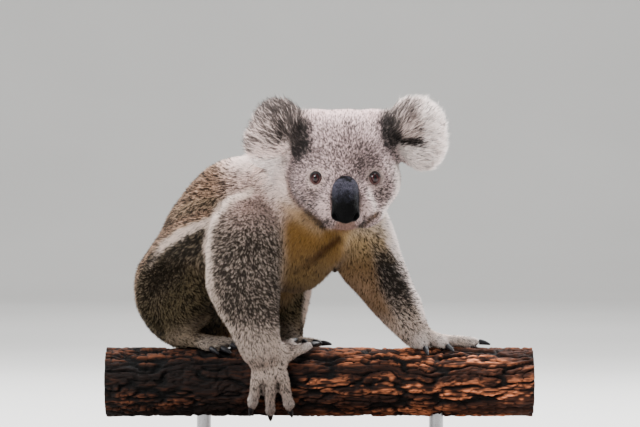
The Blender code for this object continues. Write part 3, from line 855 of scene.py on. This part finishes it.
def add_eyes():
    material = eye_material()
    polar = np.linspace(POLE, math.pi - POLE, EYE_ROWS)
    radius = EYE_RADIUS + CORNEA_BULGE * step(polar, 0.85, 0.25)
    profile = np.stack([radius * np.sin(polar), radius * np.cos(polar)], axis=1)
    ball, quads = revolved(profile, EYE_AROUND)
    for eye in EYES:
        turn = Matrix(np.stack(eye_axes(eye), axis=1).tolist()).to_4x4()
        mesh = mesh_from(f"eyeball_{eye}", ball, quads[:, ::-1])
        piece(mesh, material, [eye], Matrix.Translation(CENTRE[eye]) @ turn)


def nose_material():
    made = Material("nose_leather", Specular_IOR_Level=0.05)
    place = made.place()
    grain = made.noise(place, 1500.0, 5.0)
    inputs = {"Vector": place, "Scale": 620.0}
    cells = made.node("ShaderNodeTexVoronoi", inputs, feature="DISTANCE_TO_EDGE")
    pebbles = made.range(cells.outputs["Distance"], 0.0, 0.25)
    patches = made.noise(place, 260.0, 5.0)
    z = made.node("ShaderNodeSeparateXYZ", {"Vector": place}).outputs["Z"]
    height = made.range(z, *(float(corner[2]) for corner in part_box("nose")))
    # The leather is black low down and lighter blue-grey on its upper part: partly its own grey
    # and partly painted reflection of the light from above
    tone = made.ramp(
        made.added(height, made.spread(patches, -0.12, 0.12)), (0.0, shade(0, 0, 0)),
        (0.42, shade(1, 1, 1)), (0.60, shade(38, 38, 47)), (0.84, shade(76, 74, 88)),
        (0.97, shade(16, 15, 19)),
    )
    made.colour(made.blend(tone, shade(6, 6, 7), made.range(pebbles, 0.0, 1.0, 0.8, 0.0)))
    made.roughness(grain, 0.42, 0.6)
    made.bump(made.added(pebbles, grain), 0.6, 0.4 * MM)
    return made.made


def refined(name, voxel, softening):
    """A CAD node's shape with small smooth faces in place of its facets."""
    return remeshed(*node_arrays(name), voxel, softening)


NOSE_SQUARENESS = 3.4
NOSE_MOST_WIDENING = 1.22
NOSE_TAPER = 0.09  # how much narrower it is at its foot
NOSE_DENT_SIZE, NOSE_DENT_DEPTH_MM = 3.5 * MM, 0.35


def squared_nose(places):
    """Fuller at its top and bottom than an egg, with straighter sides."""
    centre, half = CENTRE["nose"], HALF["nose"]
    high = np.clip(np.abs(places[:, 2] - centre[2]) / half[2], 0, 0.985)
    round_width = np.sqrt(1 - high**2)
    square_width = (1 - high**NOSE_SQUARENESS) ** (1 / NOSE_SQUARENESS)
    wider = np.minimum(square_width / round_width, NOSE_MOST_WIDENING)
    low = step(centre[2] - places[:, 2], 0.35 * half[2], 0.6 * half[2])
    wider *= 1 - NOSE_TAPER * low
    widened = places.copy()
    widened[:, 0] = centre[0] + (places[:, 0] - centre[0]) * wider
    return widened


def add_nose():
    places, quads = refined("nose", 0.75 * MM, 9)
    places = squared_nose(places)
    dents = noise(places, NOSE_DENT_SIZE, 21) - 0.5
    places += vertex_normals(places, quads) * (dents * NOSE_DENT_DEPTH_MM * MM)[:, None]
    piece(mesh_from("nose_pad", places, quads), nose_material(), ["nose"])


def claw_material():
    made = Material("claw_horn", Specular_IOR_Level=0.2)
    streaks = made.noise(made.place(scale=(1, 1, 0.35)), 700.0, 4.0, 0.4)
    tones = (0.3, shade(12, 11, 13)), (0.55, shade(24, 23, 26)), (0.75, shade(44, 42, 45))
    made.colour(made.ramp(streaks, *tones))
    made.roughness(streaks, 0.35, 0.5)
    made.bump(streaks, 0.3, 0.15 * MM)
    return made.made


CLAW_THICKENING = 0.5 * MM


def thickened_claw(name):
    places, quads = refined(name, 0.5 * MM, 4)
    return places + vertex_normals(places, quads) * CLAW_THICKENING, quads


def add_claws():
    material = claw_material()
    for limb in HANDS + FEET:
        names = [name for name in CLAWS if name.startswith(f"claw_{limb}")]
        mesh = mesh_from(f"claws_{limb}", *joined(thickened_claw(name) for name in names))
        piece(mesh, material, names)


# ---------------- log and stand

BARK_STEP = 1.4 * MM
BARK_AROUND = 230
BARK_PROUD = 1.0 * MM
BARK_THICKNESS = 6 * MM
END_RINGS = 14
FURROW_SIZE, CRACK_SIZE, FLAKE_SIZE, FIBRE_SIZE = 6.4 * MM, 2.7 * MM, 2.2 * MM, 1.9 * MM
MOST_RELIEF = 5.2 * MM
YEAR_RING_PHASE = 2.3  # how far the rings' wave goes in a millimetre, in radians
FURROW, PLATE, RIDGE = shade(8, 5, 4), shade(58, 31, 20), shade(214, 128, 86)
WOOD_PALE, WOOD_DARK = shade(176, 132, 88), shade(120, 80, 50)


def bark_relief(places):
    """How far the bark lies inside its highest ridges, and its colour, at these places."""
    warp = noise(places, 0.045, 11)[:, None] + 0.35 * noise(places, 0.016, 18)[:, None]
    lengthways = (places + warp * (0, 0.013, 0.013)) * (0.17, 1.0, 1.0)
    wide = np.abs(2 * noise(lengthways, FURROW_SIZE, 12) - 1)
    narrow = np.abs(2 * noise(lengthways * (1.6, 1, 1), CRACK_SIZE, 13) - 1)
    flakes = noise(places * (0.35, 1, 1), FLAKE_SIZE, 14)
    fibres = noise(places * (0.08, 1, 1), FIBRE_SIZE, 19)
    furrow, crack = step(wide, 0.26, 0.02), step(narrow, 0.3, 0.0)
    depth = (4.4 * furrow + 2.0 * crack + 1.6 * (1 - flakes) + 0.8 * (1 - fibres)) * MM
    height = 1 - np.clip(depth / MOST_RELIEF, 0, 1)
    warm = step(noise(lengthways, 16 * MM, 15), 0.3, 0.75) * step(height, 0.3, 0.9)
    warm *= step(0.5 * flakes + 0.5 * fibres, 0.38, 0.66)
    # Darker towards the furrows: partly the bark's own colour and partly painted shade
    colour = mixed(np.broadcast_to(FURROW, places.shape), PLATE, height**1.3)
    colour = mixed(colour, RIDGE, 0.9 * warm)
    # Painted light and shade along the log: dark at its left end and lit towards its right end
    along = places[:, 0] + 0.03 * (noise(places, 0.03, 20) - 0.5)
    light = 0.18 + 0.46 * step(along, -0.16, 0.03) + 0.74 * step(along, 0.04, 0.18)
    return depth, colour * light[:, None]


def sawn_wood(places):
    """The colour of the log's sawn ends: rings round its axis, with cracks, inside the bark."""
    off = places - CENTRE["perch"]
    radius, angle = np.hypot(off[:, 1], off[:, 2]), np.arctan2(off[:, 2], off[:, 1])
    wander = 2.5 * noise(places, 14 * MM, 16)
    ring = 0.5 + 0.5 * np.sin(radius * 1000 * YEAR_RING_PHASE + wander)
    crack = step(np.abs(np.sin(2.5 * angle + 3 * noise(places, 20 * MM, 17))), 0.05, 0.0)
    colour = mixed(np.broadcast_to(WOOD_PALE, places.shape), WOOD_DARK, 0.8 * ring)
    colour = mixed(colour, FURROW, crack * 0.8)
    outside = HALF["perch"][2]
    edge = step(radius, outside - BARK_THICKNESS, outside - 0.7 * BARK_THICKNESS)
    return mixed(colour, FURROW * 2, edge)


def bark_material():
    made = Material("bark", Specular_IOR_Level=0.2)
    grain = made.noise(made.place(scale=(0.12, 1, 1)), 850.0, 6.0, 0.3)
    made.painted(made.range(grain, 0.32, 0.68, 0.35, 1.5))
    made.roughness(grain, 0.7, 0.95)
    made.bump(grain, 0.9, 1.0 * MM)
    return made.made


def log_side():
    """The bark's places and colours, as rings of points from one end to the other."""
    axis, half = CENTRE["perch"], HALF["perch"]
    log = search_tree(*node_arrays("perch"))
    angle = np.linspace(0, 2 * math.pi, BARK_AROUND, endpoint=False)
    ways = np.stack([np.zeros(BARK_AROUND), np.cos(angle), np.sin(angle)], axis=1)
    rings = []
    for x in np.arange(-half[0], half[0], BARK_STEP):
        on_axis = Vector((axis[0] + x * 0.995, axis[1], axis[2]))  # inside the solid's ends
        reach = [log.ray_cast(on_axis, Vector(way))[3] for way in ways]
        rings.append(np.array(on_axis) + ways * np.array(reach)[:, None])
    places = np.concatenate(rings)
    depth, colours = bark_relief(places)
    places = places - np.tile(ways, (len(rings), 1)) * (depth - BARK_PROUD)[:, None]
    shape = (len(rings), BARK_AROUND, 3)
    return places.reshape(shape), colours.reshape(shape)


def log_end(rim):
    """The places and colours of a sawn end, as rings of points from near its middle to its rim."""
    axis = CENTRE["perch"]
    shares = np.linspace(0.0, 1.0, END_RINGS, endpoint=False)[1:]
    rings = axis + (rim - axis) * shares[:, None, None] * (0, 1, 1)
    rings[:, :, 0] = rim[:, 0]
    return rings, sawn_wood(rings.reshape(-1, 3)).reshape(rings.shape)


def add_log():
    side, bark = log_side()
    first, last = log_end(side[0]), log_end(side[-1])
    rings = np.concatenate([first[0], side, last[0][::-1]])
    colours = np.concatenate([first[1], bark, last[1][::-1]])
    faces = grid_faces(len(rings), BARK_AROUND)[:, ::-1]
    mesh = mesh_from("log", rings.reshape(-1, 3), faces)
    add_markings(mesh, colours.reshape(-1, 3))
    piece(mesh, bark_material(), ["perch"])


def wood_material():
    made = Material("stand_walnut", Coat_Weight=0.25, Coat_Roughness=0.3)
    place = made.place(scale=(0.12, 1, 1))
    rings = made.noise(place, 60.0, 5.0, 1.5)
    pores = made.noise(made.place(scale=(0.05, 1, 1)), 900.0, 3.0)
    tones = (0.3, shade(52, 33, 22)), (0.5, shade(82, 54, 36)), (0.7, shade(104, 70, 46))
    dark = made.range(pores, 0.5, 0.72, 0.0, 0.6)
    made.colour(made.blend(made.ramp(rings, *tones), shade(36, 23, 16), dark))
    made.roughness(pores, 0.36, 0.5)
    made.bump(pores, 0.25, 0.1 * MM)
    return made.made


def steel_material():
    made = Material("stand_brushed_steel", Metallic=1.0)
    brushed = made.noise(made.place(scale=(1, 1, 12)), 400.0, 4.0)
    made.colour(made.ramp(brushed, (0.3, shade(150, 150, 152)), (0.7, shade(186, 186, 188))))
    made.roughness(brushed, 0.24, 0.38)
    made.bump(brushed, 0.15, 0.05 * MM)
    return made.made


ROD_COLLAR, COLLAR_HEIGHT, COLLAR_BEVEL = 3.0 * MM, 3.0 * MM, 0.6 * MM
AXIS_RADIUS = 0.2 * MM  # of the pinhole left at each end of a rod
ROD_AROUND = 48


def add_stand():
    steel = steel_material()
    NODES["stand_base"].data.materials.clear()
    NODES["stand_base"].data.materials.append(wood_material())
    for side in SIDES:
        rod = f"stand_rod_{side}"
        bottom, top = (float(corner[2]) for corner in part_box(rod))
        radius = HALF[rod][0]
        wide, collar_top = radius + ROD_COLLAR, bottom + COLLAR_HEIGHT
        profile = [
            (AXIS_RADIUS, bottom), (wide - COLLAR_BEVEL, bottom), (wide, bottom + COLLAR_BEVEL),
            (wide, collar_top - COLLAR_BEVEL), (wide - COLLAR_BEVEL, collar_top),
            (radius, collar_top), (radius, top), (AXIS_RADIUS, top),
        ]
        places, quads = revolved(profile, ROD_AROUND)
        places[:, :2] += CENTRE[rod][:2]
        mesh = mesh_from(f"rod_{side}", places, quads)
        mesh.shade_flat()
        piece(mesh, steel, [rod])


# ---------------- coat

# For each part, in millimetres: the tufts' length and width, how wide and how high their clumps
# are, how far the tufts stray from the lie of the coat and how strongly their tips draw together
# in a clump, which have no unit, and how far the longest stand out.
TUFT = {
    "trunk": (6.0, 0.95, 2.8, 1.6, 0.25, 0.75, 3.0), "neck": (8.0, 1.0, 2.6, 2.0, 0.4, 0.55, 4.0),
    "head": (4.2, 0.75, 1.75, 1.55, 0.36, 0.5, 2.0), "ear": (14.0, 1.0, 3.0, 3.2, 0.3, 0.85, 7.0),
    "upper_arm": (3.7, 0.85, 2.1, 1.3, 0.32, 0.6, 2.2),
    "forearm": (3.8, 0.85, 2.1, 1.35, 0.32, 0.6, 2.2),
    "thigh": (4.8, 0.9, 2.4, 1.4, 0.3, 0.65, 2.5), "shank": (5.2, 0.85, 2.5, 1.5, 0.25, 0.75, 2.2),
    "hand": (4.0, 0.75, 1.8, 1.5, 0.25, 0.6, 1.2), "foot": (4.0, 0.75, 1.8, 1.5, 0.25, 0.6, 1.2),
}
FACE_TUFT = (2.9, 0.70, 1.6, 1.45, 0.36, 0.55, 1.0)

# Tufts for each square millimetre of skin
COAT = {
    "coat_face": 3.2, "coat_crown": 1.9, "coat_ears": 1.1, "coat_neck": 1.9,
    "coat_trunk_near": 1.52, "coat_trunk_far": 1.15, "coat_arm_right": 2.2, "coat_arm_left": 2.2,
    "coat_legs": 1.7, "coat_paws": 1.9,
}
BENT_COAT = "coat_ears"

NO_FUR_ROUND_EYE = 8.4 * MM
NO_FUR_ROUND_NOSE = 1.0 * MM
ROOT_BELOW = 0.6 * MM  # how far under the skin the tufts start
TIP_BELOW = 0.8 * MM  # how far under the outer surface most tips lie
ALTERNATION = 0.45  # how regularly dark and pale clumps take turns
DARK_TIPS_PROUD = 0.5 * MM
SIDEWAYS_PULL = 0.45  # of a tip's pull along the lie of the coat
BEND_AT, BEND_OUT = 0.45, 0.12  # where a bent tuft bends and how far out, as shares of its length
BENT_WIDTH = 0.8  # a bent tuft's width at the bend, as a share of its width at the root

# Painted shade along each tuft: darkest at the root, where the fur shades it, and brightest at the
# tip
ROOT_SHADE, MIDDLE_SHADE, TIP_SHADE = 0.3, 0.8, 1.15
DARK_TUFT, PALE_TUFT, DARK_AT_ROOT = 0.03, 1.15, 0.55
MOST_PALE = 0.93
PALE_TO_ROOT = 0.25  # how far white fur keeps its colour towards the root
UV_PATCH = 0.003  # the part of the unwrap that one tuft takes


def tuft_measures(body):
    """The seven measures of TUFT at each vertex."""
    measures = body.blended(TUFT)
    high = (body.z - CENTRE["head"][2]) / HALF["head"][2]
    face = body.share("head") * step(body.back, 0.1, -0.5) * step(high, 0.95, 0.25)
    measures = mixed(measures, np.array(FACE_TUFT), face)
    longer = np.ones(len(face))
    for ear in EARS:
        longer += 0.9 * (body.rim(ear) * body.share(ear))
    longer += 0.5 * (body.share("head") * step(np.abs(body.right), 0.35, 0.9))
    for eye in EYES:
        longer *= 1 - 0.5 * near(body.outer, CENTRE[eye], 0.010, 0.02)
    longer *= 1 - 0.4 * near(body.outer, CENTRE["nose"], 0.016, 0.03)
    measures[:, 0] *= longer
    behind = left_of(body.outer, FACE_EDGE, 0, 4) * body.share("head") * step(body.z, 0.370, 0.355)
    return mixed(measures, np.array(TUFT["neck"]), behind)


def coat_of_faces(body):
    """The name of the coat piece that each quad of the body carries."""
    label = np.array(FLESH)[body.label[body.quads[:, 0]]]
    back = body.normal[body.quads].mean(axis=1)[:, 1]
    z = body.outer[body.quads].mean(axis=1)[:, 2]
    coat = np.full(len(label), "coat_legs", dtype="<U20")
    face = (label == "head") & (back < -0.15) & (z < CENTRE["head"][2] + 0.45 * HALF["head"][2])
    coat[label == "head"] = "coat_crown"
    coat[face] = "coat_face"
    coat[np.isin(label, EARS)] = "coat_ears"
    coat[label == "neck"] = "coat_neck"
    coat[(label == "trunk") & (back <= 0)] = "coat_trunk_near"
    coat[(label == "trunk") & (back > 0)] = "coat_trunk_far"
    for side in SIDES:
        coat[np.isin(label, [f"upper_arm_{side}", f"forearm_{side}"])] = f"coat_arm_{side}"
    coat[np.isin(label, HANDS + FEET)] = "coat_paws"
    return coat


def furred(root):
    """False where the eyeballs and the nose pad are."""
    keep = np.ones(len(root), bool)
    for eye in EYES:
        keep &= np.linalg.norm(root - CENTRE[eye], axis=1) > NO_FUR_ROUND_EYE
    close = np.flatnonzero(np.all(np.abs(root - CENTRE["nose"]) < HALF["nose"] + 2 * MM, axis=1))
    pad = search_tree(*node_arrays("nose"))
    for index in close:
        found, facing, _, distance = pad.find_nearest(Vector(root[index]))
        inside = (Vector(root[index]) - found).dot(facing) < 0
        keep[index] = not inside and distance > NO_FUR_ROUND_NOSE
    return keep


def at_roots(values, corners, weights):
    """Values at quads' corners, as they are at places within the quads."""
    shape = weights.shape + (1,) * (values.ndim - 1)
    return (values[corners] * weights.reshape(shape)).sum(axis=1)


def scattered(body, quads, per_area):
    """Evenly spread roots: for each the quad that it is on and its corner weights."""
    corner = body.skin[quads]
    diagonal = np.cross(corner[:, 2] - corner[:, 0], corner[:, 3] - corner[:, 1])
    area = np.linalg.norm(diagonal, axis=1) / 2
    running = np.cumsum(area) * per_area
    wanted = np.arange(RANDOM.uniform(), running[-1], 1.0)
    wanted += RANDOM.uniform(-0.5, 0.5, len(wanted))
    quad = np.searchsorted(running, np.clip(wanted, 0, running[-1] - 1e-9))
    u, v = RANDOM.uniform(size=(2, len(quad)))
    weights = np.stack([(1 - u) * (1 - v), u * (1 - v), u * v, (1 - u) * v], axis=1)
    keep = furred(at_roots(body.skin, quads[quad], weights))
    return quad[keep], weights[keep]


def clumps(points, size, seed):
    """The nearest of many scattered centres to each point, and that centre's chance.

    The centres are `size` apart.
    """
    cell = np.floor(points / size - 0.5).astype(np.int64)
    centre, chance = np.zeros_like(points), np.zeros(len(points))
    least = np.full(len(points), np.inf)
    for offset in itertools.product((0, 1), repeat=3):
        corner = cell + offset
        scatter = np.stack([hashed(corner, seed + axis) for axis in range(4)], axis=1)
        place = (corner + scatter[:, :3]) * size
        distance = np.linalg.norm((place - points) / size, axis=1)
        closer = distance < least
        least = np.where(closer, distance, least)
        centre[closer] = place[closer]
        other = (1 - ALTERNATION) * scatter[:, 3] + ALTERNATION * (corner.sum(axis=1) % 2)
        chance[closer] = other[closer]
    return centre, chance


def tuft_paths(body, root, normal, flow, measures, pepper):
    """Root, middle and tip of each tuft, how dark it is, and the quad its tip lies at.

    Tips lie near the outer surface.
    """
    count = len(root)
    length, _, clump_width, clump_height, stray, pull, proud = measures.T
    clump = np.stack([clump_width, clump_width, clump_height], axis=1) * MM
    length = length * MM * RANDOM.uniform(0.7, 1.15, count)
    aside = np.cross(normal, flow)
    way = unit(flow + aside * (stray * RANDOM.normal(0, 1, count))[:, None])
    reach = root + way * length[:, None] + normal * (0.5 * length)[:, None]
    centre, chance = clumps(reach, clump, 40)
    gap = centre - reach
    lengthways = way * np.sum(gap * way, axis=1, keepdims=True)
    reach += mixed(lengthways, gap, np.full(count, SIDEWAYS_PULL)) * pull[:, None]
    nearest = (body.tree.find_nearest(Vector(place))[:3] for place in reach)
    found, facing, quad = (np.array(values) for values in zip(*nearest))
    dark_share = pepper[body.quads[quad]].mean(axis=1)
    dark = step(chance + RANDOM.normal(0, 0.04, count), dark_share + 0.06, dark_share - 0.06)
    sunk = TIP_BELOW * RANDOM.uniform(0, 2, count) - DARK_TIPS_PROUD * dark
    lock = (chance * 9.7) % 1.0  # some clumps stand out whole
    sunk -= proud * MM * (0.7 * RANDOM.uniform(0, 1, count) ** 4 + 0.5 * lock**3)
    tip = found - facing * sunk[:, None]
    height = np.linalg.norm(tip - root, axis=1)[:, None]
    middle = root + (tip - root) * BEND_AT + normal * height * BEND_OUT
    return root - normal * ROOT_BELOW, middle, tip, dark, quad


def tuft_mesh(name, base, middle, tip, normal, width):
    """Three-sided tapering spikes with their ridge outwards, some bent once.

    Also how far across and along a tuft each of its vertices is, from 0 to 1.
    """
    side = unit(np.cross(unit(tip - base), normal))
    up = np.cross(side, unit(tip - base))

    def ring(centre, share):
        half = side * (width * share / 2)[:, None]
        return [centre - half, centre + half, centre + up * (width * share * 0.5)[:, None]]

    around = [(0, 1), (1, 2), (2, 0)]
    if name == BENT_COAT:
        rows = [*ring(base, 1.0), *ring(middle, BENT_WIDTH), tip]
        faces = [(a, b, b + 3) for a, b in around] + [(a, b + 3, a + 3) for a, b in around]
        faces += [(a + 3, b + 3, 6) for a, b in around]
        along = [0.0, 0.0, 0.0, 0.5, 0.5, 0.5, 1.0]
        across = [0.0, 1.0, 0.5, 0.1, 0.9, 0.5, 0.5]
    else:
        rows = [*ring(base, 1.0), tip]
        faces = [(a, b, 3) for a, b in around]
        along, across = [0.0, 0.0, 0.0, 1.0], [0.0, 1.0, 0.5, 0.5]
    vertices = np.stack(rows, axis=1).reshape(-1, 3)
    first = len(rows) * np.arange(len(base))[:, None, None]
    mesh = mesh_from(name, vertices, (np.array(faces) + first).reshape(-1, 3))
    return mesh, np.stack([across, along], axis=1)


def tuft_colours(base_colour, dark, place, along):
    """Each tuft's colour at each of its vertices, with painted shade darker towards the root."""
    darkness = dark[:, None] * (DARK_AT_ROOT + (1 - DARK_AT_ROOT) * along)
    factor = PALE_TUFT + (DARK_TUFT - PALE_TUFT) * darkness
    uneven = 0.7 + 0.6 * noise(place, 1.5 * MM, 8) + RANDOM.normal(0, 0.08, len(place))
    factor *= np.clip(uneven, 0.3, 1.6)[:, None]
    light = np.interp(along, (0, 0.5, 1), (ROOT_SHADE, MIDDLE_SHADE, TIP_SHADE))
    pale = step(base_colour.mean(axis=1), 0.4, 0.8)[:, None]
    light = light + (1 - light) * PALE_TO_ROOT * pale * (light < 1)
    shades = (base_colour[:, None, :] * (factor * light)[:, :, None]).reshape(-1, 3)
    return shades * MOST_PALE / np.maximum(shades.max(axis=1, keepdims=True), MOST_PALE)


def unwrapped(body, quads):
    """The corners' places on an unwrap of this part of the skin."""
    used, renumbered = np.unique(quads, return_inverse=True)
    mesh = mesh_from("unwrapping", body.skin[used], renumbered.reshape(quads.shape))
    work = linked("unwrapping", mesh)
    bpy.context.view_layer.objects.active = work
    bpy.ops.object.select_all(action="DESELECT")
    work.select_set(True)
    bpy.ops.object.mode_set(mode="EDIT")
    bpy.ops.mesh.select_all(action="SELECT")
    bpy.ops.uv.smart_project(angle_limit=math.radians(75), island_margin=0.004)
    bpy.ops.object.mode_set(mode="OBJECT")
    places = np.empty(quads.size * 2, np.float32)
    work.data.uv_layers.active.uv.foreach_get("vector", places)
    bpy.data.objects.remove(work)
    return places.reshape(-1, 4, 2)


def add_unwrap(mesh, at_tufts, in_tuft):
    """Gives the tufts an OFBake map: each lies within a small patch at its root's place."""
    patch = (in_tuft - 0.5) * UV_PATCH
    at_vertices = (at_tufts[:, None, :] + patch[None, :, :]).reshape(-1, 2)
    vertex = np.empty(len(mesh.loops), np.int32)
    mesh.loops.foreach_get("vertex_index", vertex)
    uv_map = mesh.uv_layers.new(name="OFBake")
    uv_map.uv.foreach_set("vector", at_vertices[vertex].astype(np.float32).ravel())


def add_coat(body, colours, pepper):
    material = coat_material()
    coat_name = coat_of_faces(body)
    measures = tuft_measures(body)
    for name, per_mm2 in COAT.items():
        quads = body.quads[coat_name == name]
        quad, weights = scattered(body, quads, per_mm2 / MM**2)
        root, normal, flow, measured = (
            at_roots(values, quads[quad], weights)
            for values in (body.skin, body.normal, body.flow, measures)
        )
        normal = unit(normal)
        base, middle, tip, dark, tip_quad = tuft_paths(
            body, root, normal, flattened(flow, normal), measured, pepper
        )
        width = measured[:, 1] * MM * RANDOM.uniform(0.7, 1.25, len(root))
        mesh, in_tuft = tuft_mesh(name, base, middle, tip, normal, width)
        at_tips = colours[body.quads[tip_quad]].mean(axis=1)
        add_markings(mesh, tuft_colours(at_tips, dark, tip, in_tuft[:, 1]))
        on_unwrap = unwrapped(body, quads)[quad] * weights[:, :, None]
        add_unwrap(mesh, on_unwrap.sum(axis=1), in_tuft)
        covered = sorted({FLESH[i] for i in body.label[quads[:, 0]]})
        piece(mesh, material, covered)


# ---------------- studio

FLOOR_RADIUS, FLOOR_CURVE = 6.0, 2.5
WORLD_COLOUR, WORLD_STRENGTH = (1.0, 0.975, 0.965, 1.0), 0.6

# Each area light's place, target, size in metres and power in watts
LIGHTS = {
    "top": ((0.1, 0.5, 2.2), (0, 0, 0.3), 1.6, 135),
    "front": ((-1.8, -2.1, 1.9), (0, 0, 0.25), 1.2, 118),
    "rim_left": ((-1.7, 1.4, 1.3), (0, 0, 0.3), 0.8, 55),
    "rim_right": ((1.8, 0.8, 1.4), (0, 0, 0.3), 0.8, 85),
    "backdrop": ((0, 3.4, 3.0), (0, 8.0, 0.8), 3.0, 130),
}


def add_light(name, place, target, size, power):
    data = bpy.data.lights.new(name, "AREA")
    data.size, data.energy = size, power
    light = linked(name, data)
    light.location = place
    light.rotation_euler = (Vector(target) - Vector(place)).to_track_quat("-Z", "Y").to_euler()


def add_studio():
    profile = [(0.01, 0.0), (1.5, 0.0), (FLOOR_RADIUS, 0.0)]
    for bend in np.linspace(0, math.pi / 2, 12)[1:]:
        out, up = math.sin(bend), 1 - math.cos(bend)
        profile.append((FLOOR_RADIUS + FLOOR_CURVE * out, FLOOR_CURVE * up))
    stage = linked("floor", mesh_from("floor", *revolved(profile, 96)))
    paint = Material("floor_paint", Roughness=0.9)
    tone = paint.noise(paint.place(), 1.5, 2.0)
    paint.colour(paint.ramp(tone, (0.3, shade(206, 206, 204)), (0.7, shade(210, 210, 208))))
    stage.data.materials.append(paint.made)
    world = bpy.data.worlds.new("studio")
    world.use_nodes = True
    background = world.node_tree.nodes["Background"]
    background.inputs["Color"].default_value = WORLD_COLOUR
    background.inputs["Strength"].default_value = WORLD_STRENGTH
    bpy.context.scene.world = world
    for name, light in LIGHTS.items():
        add_light(name, *light)


def main():
    add_camera()
    body = Body()
    coat = Markings(body)
    add_skin(body, coat.colour)
    add_eyes()
    add_nose()
    add_claws()
    add_log()
    add_stand()
    add_coat(body, coat.colour, coat.pepper)
    add_studio()


main()
